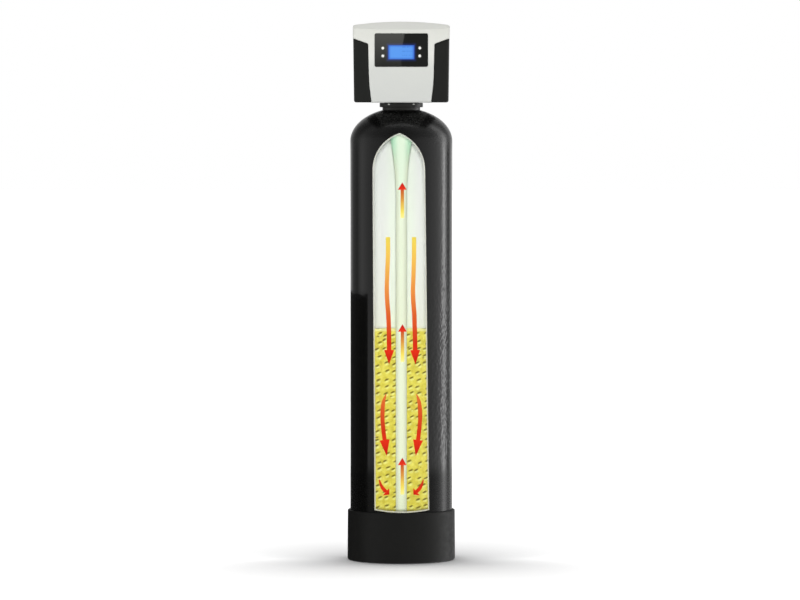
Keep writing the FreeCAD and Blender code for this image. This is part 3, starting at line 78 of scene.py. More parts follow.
class Recipe:
    """A material under construction, with helpers for its nodes.

    A value given to a helper is a number, a colour or the output of another node.
    """

    def __init__(self, name):
        self.material = bpy.data.materials.new(name)
        self.material.use_nodes = True
        self.tree = self.material.node_tree
        self.tree.nodes.clear()
        self.output = self.add("ShaderNodeOutputMaterial")
        self.place = self.add("ShaderNodeTexCoord").outputs["Object"]

    def add(self, kind, **settings):
        node = self.tree.nodes.new(kind)
        for key, value in settings.items():
            setattr(node, key, value)
        return node

    def link(self, source, target):
        self.tree.links.new(source, target)

    def value(self, socket, value):
        if hasattr(value, "is_output"):
            self.link(value, socket)
        else:
            socket.default_value = value

    def scaled(self, scale):
        mapping = self.add("ShaderNodeMapping")
        mapping.inputs["Scale"].default_value = scale
        self.link(self.place, mapping.inputs["Vector"])
        return mapping.outputs["Vector"]

    def noise(self, scale, detail=3.0, vector=None):
        node = self.add("ShaderNodeTexNoise")
        node.inputs["Scale"].default_value = scale
        node.inputs["Detail"].default_value = detail
        self.link(vector or self.place, node.inputs["Vector"])
        return node.outputs["Fac"]

    def ramp(self, factor, stops):
        node = self.add("ShaderNodeValToRGB")
        elements = node.color_ramp.elements
        while len(elements) < len(stops):
            elements.new(0.5)
        for element, (position, colour) in zip(elements, stops):
            element.position = position
            element.color = colour
        self.value(node.inputs["Fac"], factor)
        return node.outputs["Color"]

    def math(self, operation, first, second=0.0):
        node = self.add("ShaderNodeMath", operation=operation)
        self.value(node.inputs[0], first)
        self.value(node.inputs[1], second)
        return node.outputs["Value"]

    def range(self, factor, low, high, out_low=0.0, out_high=1.0, smooth=True):
        node = self.add("ShaderNodeMapRange")
        node.interpolation_type = "SMOOTHSTEP" if smooth else "LINEAR"
        for name, value in zip(("Value", "From Min", "From Max", "To Min", "To Max"),
                               (factor, low, high, out_low, out_high)):
            self.value(node.inputs[name], value)
        return node.outputs["Result"]

    def mix(self, factor, first, second):
        node = self.add("ShaderNodeMix", data_type="RGBA")
        self.value(node.inputs["Factor"], factor)
        self.value(node.inputs[6], first)
        self.value(node.inputs[7], second)
        return node.outputs[2]

    def axis(self, name):
        """Place along the X, Y or Z axis, in metres."""
        node = self.add("ShaderNodeSeparateXYZ")
        self.link(self.place, node.inputs["Vector"])
        return node.outputs[name]

    def bump(self, height, distance, before=None):
        node = self.add("ShaderNodeBump")
        node.inputs["Strength"].default_value = 1.0
        node.inputs["Distance"].default_value = distance
        self.link(height, node.inputs["Height"])
        if before is not None:
            self.link(before, node.inputs["Normal"])
        return node.outputs["Normal"]

    def blot(self, offset, centre, squash, inner, outer):
        """Soft flat ellipse round a centre, in the plane of X and Z."""
        moved = self.add("ShaderNodeVectorMath", operation="ADD")
        self.link(offset, moved.inputs[0])
        moved.inputs[1].default_value = centre
        flat = self.add("ShaderNodeVectorMath", operation="MULTIPLY")
        self.link(moved.outputs["Vector"], flat.inputs[0])
        flat.inputs[1].default_value = (1.0, 0.0, squash)
        length = self.add("ShaderNodeVectorMath", operation="LENGTH")
        self.link(flat.outputs["Vector"], length.inputs[0])
        return self.range(length.outputs["Value"], inner, outer, 1.0, 0.0)

    def principled(self, colour, roughness, metallic=0.0, normal=None, specular=0.5):
        shader = self.add("ShaderNodeBsdfPrincipled")
        self.value(shader.inputs["Base Color"], colour)
        self.value(shader.inputs["Roughness"], roughness)
        shader.inputs["Metallic"].default_value = metallic
        shader.inputs["Specular IOR Level"].default_value = specular
        if normal is not None:
            self.link(normal, shader.inputs["Normal"])
        return shader.outputs["BSDF"]

    def done(self, shader):
        self.link(shader, self.output.inputs["Surface"])
        return self.material


def moulded(name, colour, roughness, grain=900.0, depth=0.00004, metallic=0.0, spread=0.08,
            specular=0.5, edge=0.0):
    """Moulded plastic, rubber or metal: faint mottling, uneven gloss and a fine grain."""
    recipe = Recipe(name)
    mottle = recipe.noise(14.0, 4.0)
    dark = tuple(value * (1 - spread) for value in colour[:3]) + (1.0,)
    light = tuple(min(1.0, value * (1 + spread)) for value in colour[:3]) + (1.0,)
    tint = recipe.ramp(mottle, [(0.3, dark), (0.7, light)])
    gloss = recipe.range(recipe.noise(60.0, 3.0), 0.3, 0.7, roughness * 0.9, min(1.0, roughness * 1.1))
    rounded = None
    if edge:
        bevel = recipe.add("ShaderNodeBevel", samples=6)
        bevel.inputs["Radius"].default_value = edge
        rounded = bevel.outputs["Normal"]
    normal = recipe.bump(recipe.noise(grain, 2.0), depth, rounded)
    return recipe.done(recipe.principled(tint, gloss, metallic, normal, specular))


STRAND_PITCH = 0.021
STRAND_RISE_PER_RADIAN = 0.055
STRAND_DEPTH = 0.00004
RIPPLE_DEPTH = 0.00014
GRAIN_DEPTH = 0.00004
GRAIN_FADE = (1.2, 1.27)
# Heights where the foot turns rougher and its reflections are dimmed as painted shade
FOOT_DULL_AND_SHADED = (0.25, 0.31)
DULL_SHOULDER = (1.22, 1.29)
DIMPLES_START = (0.26, 0.34)
DIMPLES_FADE = (0.7, 1.0)
DIMPLES_ASIDE = (0.06, 0.1)
DIMPLES_REAR = (-0.06, 0.0)
DIMPLE_DEPTH = 0.0014


def wound(name):
    """Black resin over helically wound glass: crossing strands, ripples and a fine grain.

    The right front has dimples. Each pair of places above says where a change starts and ends.
    """
    recipe = Recipe(name)
    x, y, z = recipe.axis("X"), recipe.axis("Y"), recipe.axis("Z")
    angle = recipe.math("ARCTAN2", x, y)
    strands = None
    for way in (1, -1):
        sweep = recipe.math("MULTIPLY", angle, STRAND_RISE_PER_RADIAN * way)
        level = recipe.math("ADD", z, sweep)
        wave = recipe.math("SINE", recipe.math("MULTIPLY", level, 2 * math.pi / STRAND_PITCH))
        strands = wave if strands is None else recipe.math("MAXIMUM", strands, wave)
    ripple = recipe.noise(26.0, 3.0, recipe.scaled((1.0, 1.0, 3.6)))
    fine = recipe.noise(160.0, 3.0, recipe.scaled((1.0, 1.0, 2.6)))
    band = recipe.math("MULTIPLY", recipe.range(z, *DIMPLES_START),
                       recipe.range(z, *DIMPLES_FADE, 1.0, 0.25))
    flank = recipe.math("MULTIPLY", recipe.range(x, *DIMPLES_ASIDE),
                        recipe.range(y, *DIMPLES_REAR, 1.0, 0.0))
    dimples = recipe.math("MULTIPLY", recipe.noise(105.0, 1.0), recipe.math("MULTIPLY", band, flank))
    grain = recipe.math("MULTIPLY", fine, recipe.range(z, *GRAIN_FADE, 1.0, 0.2))
    normal = recipe.bump(strands, STRAND_DEPTH)
    normal = recipe.bump(ripple, RIPPLE_DEPTH, normal)
    normal = recipe.bump(dimples, DIMPLE_DEPTH, normal)
    normal = recipe.bump(grain, GRAIN_DEPTH, normal)
    tint = recipe.ramp(ripple, [(0.3, linear(5, 5, 5)), (0.7, linear(8, 8, 7))])
    dull = recipe.math("MAXIMUM", recipe.range(z, *DULL_SHOULDER, 0.0, 0.15),
                       recipe.range(z, *FOOT_DULL_AND_SHADED, 0.12, 0.0))
    gloss = recipe.math("ADD", recipe.range(fine, 0.3, 0.7, 0.11, 0.17), dull)
    skin = recipe.principled(tint, gloss, 0.0, normal)
    # Painted shade: the specular tint falls to 0.3 towards the foot, which dims the reflections there
    foot_reflection_shade = recipe.mix(recipe.range(z, *FOOT_DULL_AND_SHADED), (0.3, 0.3, 0.3, 1.0), (1.0, 1.0, 1.0, 1.0))
    recipe.link(foot_reflection_shade, skin.node.inputs["Specular Tint"])
    return recipe.done(skin)


def cover_plastic(name):
    """Light grey cover with painted light: painted palest across its upper front, with painted shade at
    its foot and along its top.
    """
    recipe = Recipe(name)
    cover_low, cover_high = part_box("front_cover")
    share = recipe.range(recipe.axis("Z"), cover_low.z, cover_high.z, smooth=False)
    share = recipe.math("ADD", share, recipe.math("MULTIPLY", recipe.noise(9.0), 0.06))
    # Painted light and shade: the colour by height stands in for light falling most on the upper front
    tint = recipe.ramp(share, [(0.06, linear(203, 205, 201)), (0.45, linear(208, 210, 205)),
                               (0.62, linear(222, 223, 217)), (0.9, linear(216, 217, 210)),
                               (1.0, linear(212, 213, 207))])
    gloss = recipe.range(recipe.noise(60.0, 3.0), 0.3, 0.7, 0.33, 0.4)
    bevel = recipe.add("ShaderNodeBevel", samples=6)
    bevel.inputs["Radius"].default_value = 0.004
    normal = recipe.bump(recipe.noise(1200.0, 2.0), 0.00003, bevel.outputs["Normal"])
    return recipe.done(recipe.principled(tint, gloss, 0.0, normal))


GREEN_ASIDE = (0.022, 0.058)


def lining(name):
    """Off-white vessel wall, a little green where the mint funnel tints the light near the axis."""
    recipe = Recipe(name)
    near = recipe.range(recipe.math("ABSOLUTE", recipe.axis("X")), *GREEN_ASIDE, 1.0, 0.0)
    near = recipe.math("MULTIPLY", near, recipe.range(recipe.noise(11.0), 0.2, 0.8, 0.7, 1.0))
    tint = recipe.mix(near, linear(249, 249, 249), linear(248, 255, 243))
    return recipe.done(recipe.principled(tint, 0.6, 0.0, recipe.bump(recipe.noise(300.0), 0.0001)))


def milky(name, middle, edge, foot=None, span=(0.0, 1.0)):
    """Thin pale plastic with painted light: painted lightest where it faces the front and deeper towards
    its sides.

    With a foot, the sides fade from the foot colour to the edge colour over the span of heights.
    The shading normal leans to the front, for light that passes through the wall evens it out.
    """
    recipe = Recipe(name)
    place = recipe.add("ShaderNodeTexCoord")
    facing = recipe.add("ShaderNodeSeparateXYZ")
    recipe.link(place.outputs["Normal"], facing.inputs[0])
    side = recipe.math("ABSOLUTE", facing.outputs["X"])
    side = recipe.math("ADD", side, recipe.math("MULTIPLY", recipe.noise(24.0), 0.1))
    share = recipe.range(side, 0.2, 0.95)
    deep = edge
    if foot:
        deep = recipe.mix(recipe.range(recipe.axis("Z"), *span), foot, edge)
    # Painted light: from the middle colour where the surface faces the front to the deeper colour at its
    # sides
    tint = recipe.mix(share, middle, deep)
    soft = recipe.add("ShaderNodeVectorMath", operation="MULTIPLY")
    recipe.link(place.outputs["Normal"], soft.inputs[0])
    soft.inputs[1].default_value = (0.4, 1.0, 1.0)
    level = recipe.add("ShaderNodeVectorMath", operation="ADD")
    recipe.link(soft.outputs["Vector"], level.inputs[0])
    level.inputs[1].default_value = (0.0, -0.6, 0.0)
    even = recipe.add("ShaderNodeVectorMath", operation="NORMALIZE")
    recipe.link(level.outputs["Vector"], even.inputs[0])
    normal = recipe.bump(recipe.noise(300.0), 0.00005, even.outputs["Vector"])
    return recipe.done(recipe.principled(tint, 0.38, 0.0, normal))


MIRRORED_SQUARE_ON = 0.022
MIRRORED_FROM_SIDE = 0.7


def sheer(name):
    """Clear pane: lets light through, and mirrors a little, more where it is seen from the side."""
    recipe = Recipe(name)
    clear = recipe.add("ShaderNodeBsdfTransparent")
    clear.inputs["Color"].default_value = (0.985, 0.992, 0.985, 1.0)
    mirror = recipe.add("ShaderNodeBsdfGlossy")
    mirror.inputs["Color"].default_value = (1.0, 1.0, 1.0, 1.0)
    recipe.value(mirror.inputs["Roughness"], recipe.range(recipe.noise(9.0), 0.3, 0.7, 0.03, 0.06))
    weight = recipe.add("ShaderNodeLayerWeight")
    weight.inputs["Blend"].default_value = 0.5
    grazing = recipe.math("POWER", weight.outputs["Facing"], 5.0)
    blend = recipe.add("ShaderNodeMixShader")
    share = recipe.range(grazing, 0.0, 1.0, MIRRORED_SQUARE_ON, MIRRORED_FROM_SIDE, False)
    recipe.link(share, blend.inputs["Fac"])
    recipe.link(clear.outputs["BSDF"], blend.inputs[1])
    recipe.link(mirror.outputs["BSDF"], blend.inputs[2])
    return recipe.done(blend.outputs["Shader"])


def half_clear(name, colour, share):
    """Clear silicone that takes on some of what is behind it."""
    recipe = Recipe(name)
    clear = recipe.add("ShaderNodeBsdfTransparent")
    tint = recipe.ramp(recipe.noise(40.0), [(0.3, colour), (0.7, linear(250, 250, 240))])
    skin = recipe.principled(tint, 0.5)
    blend = recipe.add("ShaderNodeMixShader")
    blend.inputs["Fac"].default_value = share
    recipe.link(clear.outputs["BSDF"], blend.inputs[1])
    recipe.link(skin, blend.inputs[2])
    return recipe.done(blend.outputs["Shader"])


NUGGETS_PER_METRE = 41.5
NUGGET_SQUASH = 1.06
CLEFT_SLANT = 27
# Where the painted light near the top of the media starts and ends, below the top
PAINTED_LIGHT_BELOW_TOP = (0.007, 0.001)


def sponge(name, top):
    """Yellow filter media: nuggets with slanted clefts in loose rows, painted shade in the clefts, a
    painted highlight below each, and painted light near the top.
    """
    recipe = Recipe(name)
    flat = recipe.scaled((1.0, 0.0, NUGGET_SQUASH))
    warp = recipe.add("ShaderNodeTexNoise")
    warp.inputs["Scale"].default_value = 30.0
    recipe.link(recipe.place, warp.inputs["Vector"])
    shift = recipe.add("ShaderNodeVectorMath", operation="MULTIPLY_ADD")
    recipe.link(warp.outputs["Color"], shift.inputs[0])
    shift.inputs[1].default_value = (0.008, 0.0, 0.006)
    recipe.link(flat, shift.inputs[2])
    cells = recipe.add("ShaderNodeTexVoronoi")
    cells.inputs["Scale"].default_value = NUGGETS_PER_METRE
    cells.inputs["Randomness"].default_value = 0.5
    recipe.link(shift.outputs["Vector"], cells.inputs["Vector"])
    offset = recipe.add("ShaderNodeVectorMath", operation="SUBTRACT")
    recipe.link(shift.outputs["Vector"], offset.inputs[0])
    recipe.link(cells.outputs["Position"], offset.inputs[1])
    slant = recipe.add("ShaderNodeVectorRotate", rotation_type="Y_AXIS")
    recipe.link(offset.outputs["Vector"], slant.inputs["Vector"])
    slant.inputs["Angle"].default_value = math.radians(CLEFT_SLANT)
    cleft = recipe.blot(slant.outputs["Vector"], (0.0, 0.0, 0.0), 2.6, 0.003, 0.0105)
    shine = recipe.blot(slant.outputs["Vector"], (0.001, 0.0, 0.0058), 1.8, 0.002, 0.0105)
    mottle = recipe.noise(64.0, 4.0)
    body = recipe.ramp(mottle, [(0.28, linear(210, 194, 66)), (0.5, linear(230, 217, 84)),
                                (0.74, linear(246, 237, 116))])
    # Painted highlight: a pale blot below each cleft
    tint = recipe.mix(recipe.math("MULTIPLY", shine, 0.8), body, linear(255, 255, 160))
    # Painted shade: dark olive in each cleft
    tint = recipe.mix(recipe.math("MULTIPLY", cleft, 0.92), tint, linear(116, 98, 6))
    # Painted light: paler towards the top, against the shade on the top face
    top_painted_light = recipe.range(recipe.axis("Z"), top - PAINTED_LIGHT_BELOW_TOP[0], top - PAINTED_LIGHT_BELOW_TOP[1], 0.0, 0.5)
    tint = recipe.mix(top_painted_light, tint, linear(255, 255, 205))
    normal = recipe.bump(recipe.noise(120.0, 4.0), 0.0014)
    normal = recipe.bump(recipe.math("SUBTRACT", shine, cleft), 0.0015, normal)
    return recipe.done(recipe.principled(tint, 0.75, 0.0, normal, 0.3))


def pebbled(name):
    """Grey gravel: rounded stones of two pale greys."""
    recipe = Recipe(name)
    cells = recipe.add("ShaderNodeTexVoronoi")
    cells.inputs["Scale"].default_value = 160.0
    recipe.link(recipe.place, cells.inputs["Vector"])
    tint = recipe.mix(recipe.noise(40.0), linear(150, 142, 128), linear(196, 190, 176))
    normal = recipe.bump(cells.outputs["Distance"], 0.002)
    return recipe.done(recipe.principled(tint, 0.85, 0.0, normal, 0.3))


SCREEN_EDGE_BLUE = linear(22, 44, 112)
ROW_PITCH = 0.0125
ROW_START = (0.001, 0.004)
ROW_END = (0.031, 0.034)


def lit_screen(name, centre_z, half_width, half_height):
    """Blue display: lit from behind, brightest in its middle, with faint broken rows on its right."""
    recipe = Recipe(name)
    x = recipe.axis("X")
    level = recipe.math("SUBTRACT", recipe.axis("Z"), centre_z)
    side = recipe.range(recipe.math("ABSOLUTE", x), half_width * 0.72, half_width * 1.02, 1.0, 0.0)
    rise = recipe.range(recipe.math("ABSOLUTE", level), half_height * 0.55, half_height * 1.05, 1.0, 0.0)
    middle = recipe.math("MULTIPLY", side, rise)
    tint = recipe.mix(middle, linear(40, 88, 205), linear(90, 160, 250))
    rows = recipe.math("SINE", recipe.math("MULTIPLY", level, 2 * math.pi / ROW_PITCH))
    row = recipe.range(rows, 0.55, 0.8)
    ends = recipe.math("MULTIPLY", recipe.range(x, *ROW_START), recipe.range(x, *ROW_END, 1.0, 0.0))
    broken = recipe.range(recipe.noise(330.0, 1.0, recipe.scaled((1.0, 0.0, 0.12))), 0.46, 0.5)
    marks = recipe.math("MULTIPLY", recipe.math("MULTIPLY", row, ends), broken)
    tint = recipe.mix(recipe.math("MULTIPLY", marks, 0.35), tint, linear(44, 96, 200))
    side = recipe.range(recipe.math("ABSOLUTE", x), half_width * 0.9, half_width, 1.0, 0.0)
    rise = recipe.range(recipe.math("ABSOLUTE", level), half_height * 0.84, half_height, 1.0, 0.0)
    tint = recipe.mix(recipe.math("MULTIPLY", side, rise), SCREEN_EDGE_BLUE, tint)
    glow = recipe.add("ShaderNodeEmission")
    recipe.link(tint, glow.inputs["Color"])
    glow.inputs["Strength"].default_value = 0.92
    skin = recipe.principled((0.0, 0.0, 0.0, 1.0), 0.12)
    both = recipe.add("ShaderNodeAddShader")
    recipe.link(glow.outputs["Emission"], both.inputs[0])
    recipe.link(skin, both.inputs[1])
    return recipe.done(both.outputs["Shader"])


def smoked_panel(name, centre_z, half_width, half_height):
    """Glossy dark pane with a faint blue glow spilling round the display."""
    recipe = Recipe(name)
    across = recipe.math("ABSOLUTE", recipe.axis("X"))
    aside = recipe.math("MAXIMUM", recipe.math("SUBTRACT", across, half_width), 0.0)
    level = recipe.math("ABSOLUTE", recipe.math("SUBTRACT", recipe.axis("Z"), centre_z))
    above = recipe.math("MAXIMUM", recipe.math("SUBTRACT", level, half_height), 0.0)
    away = recipe.math("ADD", recipe.math("POWER", aside, 2.0), recipe.math("POWER", above, 2.0))
    near = recipe.range(recipe.math("SQRT", away), -0.002, 0.008, 1.0, 0.0)
    glow = recipe.add("ShaderNodeEmission")
    glow.inputs["Color"].default_value = SCREEN_EDGE_BLUE
    recipe.link(recipe.math("MULTIPLY", recipe.math("POWER", near, 1.6), 0.55), glow.inputs["Strength"])
    tint = recipe.ramp(recipe.noise(14.0), [(0.3, linear(16, 17, 14)), (0.7, linear(18, 19, 16))])
    skin = recipe.principled(tint, 0.02)
    both = recipe.add("ShaderNodeAddShader")
    recipe.link(glow.outputs["Emission"], both.inputs[0])
    recipe.link(skin, both.inputs[1])
    return recipe.done(both.outputs["Shader"])


def arrow_paint(name, stops):
    """Printed arrow, coloured along its length."""
    recipe = Recipe(name)
    share = recipe.add("ShaderNodeUVMap", uv_map="along").outputs["UV"]
    parts = recipe.add("ShaderNodeSeparateXYZ")
    recipe.link(share, parts.inputs["Vector"])
    tint = recipe.ramp(parts.outputs["X"], stops)
    speckle = recipe.range(recipe.noise(400.0), 0.3, 0.7, 0.45, 0.55)
    return recipe.done(recipe.principled(tint, speckle, 0.0, None, 0.15))


screen_low, screen_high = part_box("lcd_module")
screen_z = (screen_low.z + screen_high.z) / 2
screen_half_width = 0.041
screen_half_height = 0.0235
media_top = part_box("filter_media")[1].z
materials = {
    "tank_black": wound("wound_black"),
    "liner_white": lining("liner_white"),
    "clear_pane": sheer("clear_pane"),
    "seal_black": moulded("seal_black", linear(24, 24, 24), 0.6),
    "gasket_cream": half_clear("gasket_cream", linear(242, 242, 230), 0.35),
    "boot_black": moulded("boot_black", linear(22, 22, 21), 0.5, grain=1400.0, depth=0.00006,
                          specular=0.22, edge=0.004),
    "valve_black": moulded("valve_black", linear(30, 30, 28), 0.42),
    "riser_white": milky("riser_white", linear(246, 254, 232), linear(232, 238, 216)),
    "funnel_mint": milky("funnel_mint", linear(240, 255, 234), linear(182, 240, 204),
                         foot=linear(232, 240, 216), span=(1.17, 1.3)),
    "media_yellow": sponge("media_yellow", media_top),
    "gravel_grey": pebbled("gravel_grey"),
    "basket_white": moulded("basket_white", linear(232, 232, 224), 0.45, spread=0.03),
    "cover_grey": cover_plastic("cover_grey"),
    "wing_black": moulded("wing_black", linear(26, 27, 25), 0.34, grain=1600.0, depth=0.00005,
                          specular=0.4, edge=0.008),
    "panel_gloss": smoked_panel("panel_gloss", screen_z, screen_half_width, screen_half_height),
    "screen_blue": lit_screen("screen_blue", screen_z, screen_half_width, screen_half_height),
    "button_white": moulded("button_white", linear(246, 246, 242), 0.35, spread=0.02),
    "board_green": moulded("board_green", linear(34, 92, 58), 0.45),
    "gear_white": moulded("gear_white", linear(224, 222, 212), 0.45, spread=0.03),
    "piston_amber": moulded("piston_amber", linear(188, 140, 78), 0.4),
    "cage_grey": moulded("cage_grey", linear(120, 122, 124), 0.5),
    "steel": moulded("steel", linear(190, 190, 188), 0.3, grain=700.0, depth=0.00002, metallic=1.0),
    "motor_steel": moulded("motor_steel", linear(168, 168, 170), 0.35, grain=700.0, depth=0.00003,
                           metallic=1.0),
    "nut_black": moulded("nut_black", linear(40, 40, 40), 0.45),
    "pipe_grey": moulded("pipe_grey", linear(120, 122, 120), 0.5),
    "handle_grey": moulded("handle_grey", linear(74, 76, 78), 0.5),
}

slot_of = {}
for entry in frame["record"]["subparts"]:
    slot_of[entry["node"]] = entry["material_slot"]
for name, obj in nodes.items():
    obj.data.materials.clear()
    obj.data.materials.append(materials[slot_of[name]])


# Mesh helpers

def mesh_object(name, points, faces, material, body, uv=None, smooth=True):
    """Object in the scene that rides on a body and fills a material slot."""
    mesh = bpy.data.meshes.new(name)
    mesh.from_pydata(points, [], faces)
    mesh.update()
    if uv is not None:
        layer = mesh.uv_layers.new(name="along")
        for loop in mesh.loops:
            layer.data[loop.index].uv = uv[loop.vertex_index]
    mesh.materials.append(material)
    for polygon in mesh.polygons:
        polygon.use_smooth = smooth
    obj = bpy.data.objects.new(name, mesh)
    bpy.context.scene.collection.objects.link(obj)
    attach(obj, body)
    return obj


# Filter media with a lumpy cut face

COARSE_PER_METRE = (62, 78)
COARSE_DEPTH = 0.0016
FINE_PER_METRE = (150, 170)
FINE_DEPTH = 0.0009


def lump(x, z):
    """How far the cut face of the media stands proud, in metres: coarse lumps with finer ones."""
    coarse = noise.noise(Vector((x * COARSE_PER_METRE[0], 1.7, z * COARSE_PER_METRE[1])))
    fine = noise.noise(Vector((x * FINE_PER_METRE[0], 5.3, z * FINE_PER_METRE[1])))
    return COARSE_DEPTH * coarse + FINE_DEPTH * fine


BED_FALL = 0.06
BED_GAP = 0.0003
BED_STEP = 0.0024
BED_ARC_PIECES = 72
HOLLOW_PIECES = 16
LUMP_FADE_ROWS = 3


def media():
    """The bed round the riser, cut flat at the front. Its top falls to the rear about its middle."""
    low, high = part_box("filter_media")
    riser_low, riser_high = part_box("riser_tube")
    reach = high.x - BED_GAP
    face_y = low.y
    hollow = (riser_high.x - riser_low.x) / 2 + BED_GAP
    chord_end = math.sqrt(reach * reach - face_y * face_y)
    chord_count = int((chord_end - hollow) / BED_STEP)
    outline = []
    for index in range(chord_count + 1):
        outline.append((-chord_end + (chord_end - hollow) * index / chord_count, face_y, 1.0))
    for index in range(1, HOLLOW_PIECES):
        angle = math.pi * index / HOLLOW_PIECES
        outline.append((-hollow * math.cos(angle), hollow * math.sin(angle), 0.0))
    for index in range(chord_count + 1):
        outline.append((hollow + (chord_end - hollow) * index / chord_count, face_y, 1.0))
    start = math.asin(face_y / reach)
    for index in range(1, BED_ARC_PIECES):
        angle = start + (math.pi - 2 * start) * index / BED_ARC_PIECES
        outline.append((reach * math.cos(angle), reach * math.sin(angle), 0.0))
    levels = int((high.z - low.z) / BED_STEP)
    points, faces = [], []
    count = len(outline)
    for level in range(levels + 1):
        edge = min(1.0, level / LUMP_FADE_ROWS, (levels - level) / LUMP_FADE_ROWS)
        for x, y, share in outline:
            top = high.z + BED_FALL * (reach / 2 - (y - face_y))
            z = low.z + (top - low.z) * level / levels
            proud = share * edge * lump(x, z)
            points.append((x, y - proud, z))
    for level in range(levels):
        for index in range(count):
            a = level * count + index
            b = level * count + (index + 1) % count
            faces.append((a, b, b + count, a + count))
    faces.append(tuple(range(count - 1, -1, -1)))
    faces.append(tuple(range(levels * count, (levels + 1) * count)))
    obj = mesh_object("media_bed", points, faces, materials["media_yellow"], "root")
    obj.data.polygons[-1].use_smooth = False
    obj.data.polygons[-2].use_smooth = False
    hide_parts("filter_media")


media()


# Flow arrows printed on the pane

PANE_PRINT_LIFT = 0.00015
HEAD_LIFT = 0.00004
RIBBON_COLUMNS = (-1, -0.4, 0.4, 1)
RIBBON_PAINT_END = 0.97
HEAD_PAINT_START = 0.86
pane_radius = -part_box("sight_window")[0].y + PANE_PRINT_LIFT
rising_paint = arrow_paint("rising_arrow_print", [
    (0.0, linear(248, 240, 150)), (0.18, linear(240, 220, 96)), (0.5, linear(214, 150, 66)),
    (0.78, linear(196, 78, 36)), (0.855, linear(190, 44, 20)), (0.865, linear(228, 54, 30)),
    (1.0, linear(182, 14, 16)),
])
sinking_paint = arrow_paint("sinking_arrow_print", [
    (0.0, linear(236, 212, 84)), (0.15, linear(240, 192, 84)), (0.37, linear(232, 148, 70)),
    (0.6, linear(216, 90, 40)), (0.8, linear(206, 46, 20)), (0.87, linear(222, 46, 20)),
    (1.0, linear(186, 16, 10)),
])


def on_pane(x, z, radius=pane_radius):
    """Point on the round of the pane, in metres, at a place seen from the front."""
    return (x, -math.sqrt(radius * radius - x * x), z)


def smooth_path(path, pieces=6):
    """Catmull-Rom points through (x, z, width) places."""
    if len(path) < 3:
        start, end = path
        steps = 10
        return [tuple(a + (b - a) * k / steps for a, b in zip(start, end)) for k in range(steps + 1)]
    extended = [path[0]] + list(path) + [path[-1]]
    points = []
    for index in range(1, len(extended) - 2):
        p0, p1, p2, p3 = extended[index - 1:index + 3]
        for k in range(pieces):
            t = k / pieces
            points.append(tuple(
                0.5 * (2 * b + (c - a) * t + (2 * a - 5 * b + 4 * c - d) * t * t
                       + (3 * b - a - 3 * c + d) * t ** 3)
                for a, b, c, d in zip(p0, p1, p2, p3)))
    points.append(tuple(path[-1]))
    return points


def arrow(name, path, tip, head_half, paint, first_share=0.0):
    """Flat arrow on the pane: a ribbon along (x, z, width) places in mm and a pointed head."""
    line = smooth_path(path)
    lengths = [0.0]
    for a, b in zip(line, line[1:]):
        lengths.append(lengths[-1] + math.hypot(b[0] - a[0], b[1] - a[1]))
    neck = line[-1]
    head_length = math.hypot(tip[0] - neck[0], tip[1] - neck[1])
    total = lengths[-1] + head_length
    points, uv, faces = [], [], []
    columns = len(RIBBON_COLUMNS)

    def strip(first):
        """Faces between a row of points and the next."""
        for k in range(first, first + columns - 1):
            faces.append((k, k + 1, k + 1 + columns, k + columns))

    for index, (x, z, width) in enumerate(line):
        before = line[max(index - 1, 0)]
        after = line[min(index + 1, len(line) - 1)]
        along = Vector((after[0] - before[0], after[1] - before[1])).normalized()
        across = Vector((along.y, -along.x)) * (width / 2)
        share = first_share + (1 - first_share) * lengths[index] / total * RIBBON_PAINT_END
        for way in RIBBON_COLUMNS:
            points.append(on_pane((x + way * across.x) * MM, (z + way * across.y) * MM))
            uv.append((share, 0.0))
        if index:
            strip(columns * (index - 1))
    along = Vector((tip[0] - neck[0], tip[1] - neck[1])).normalized()
    across = Vector((along.y, -along.x))
    rows = 6
    first = len(points)
    for row in range(rows):
        share = row / rows
        half = head_half * (1 - share)
        for way in RIBBON_COLUMNS:
            point = Vector(neck[:2]) + along * (head_length * share) + across * (half * way)
            points.append(on_pane(point.x * MM, point.y * MM, pane_radius + HEAD_LIFT))
            uv.append((HEAD_PAINT_START + (1 - HEAD_PAINT_START) * share, 0.0))
    points.append(on_pane(tip[0] * MM, tip[1] * MM, pane_radius + HEAD_LIFT))
    uv.append((1.0, 0.0))
    for row in range(rows - 1):
        strip(first + columns * row)
    last = first + columns * (rows - 1)
    for k in range(last, last + columns - 1):
        faces.append((k, k + 1, len(points) - 1))
    obj = mesh_object(name, points, faces, paint, "root", uv)
    obj.visible_shadow = False


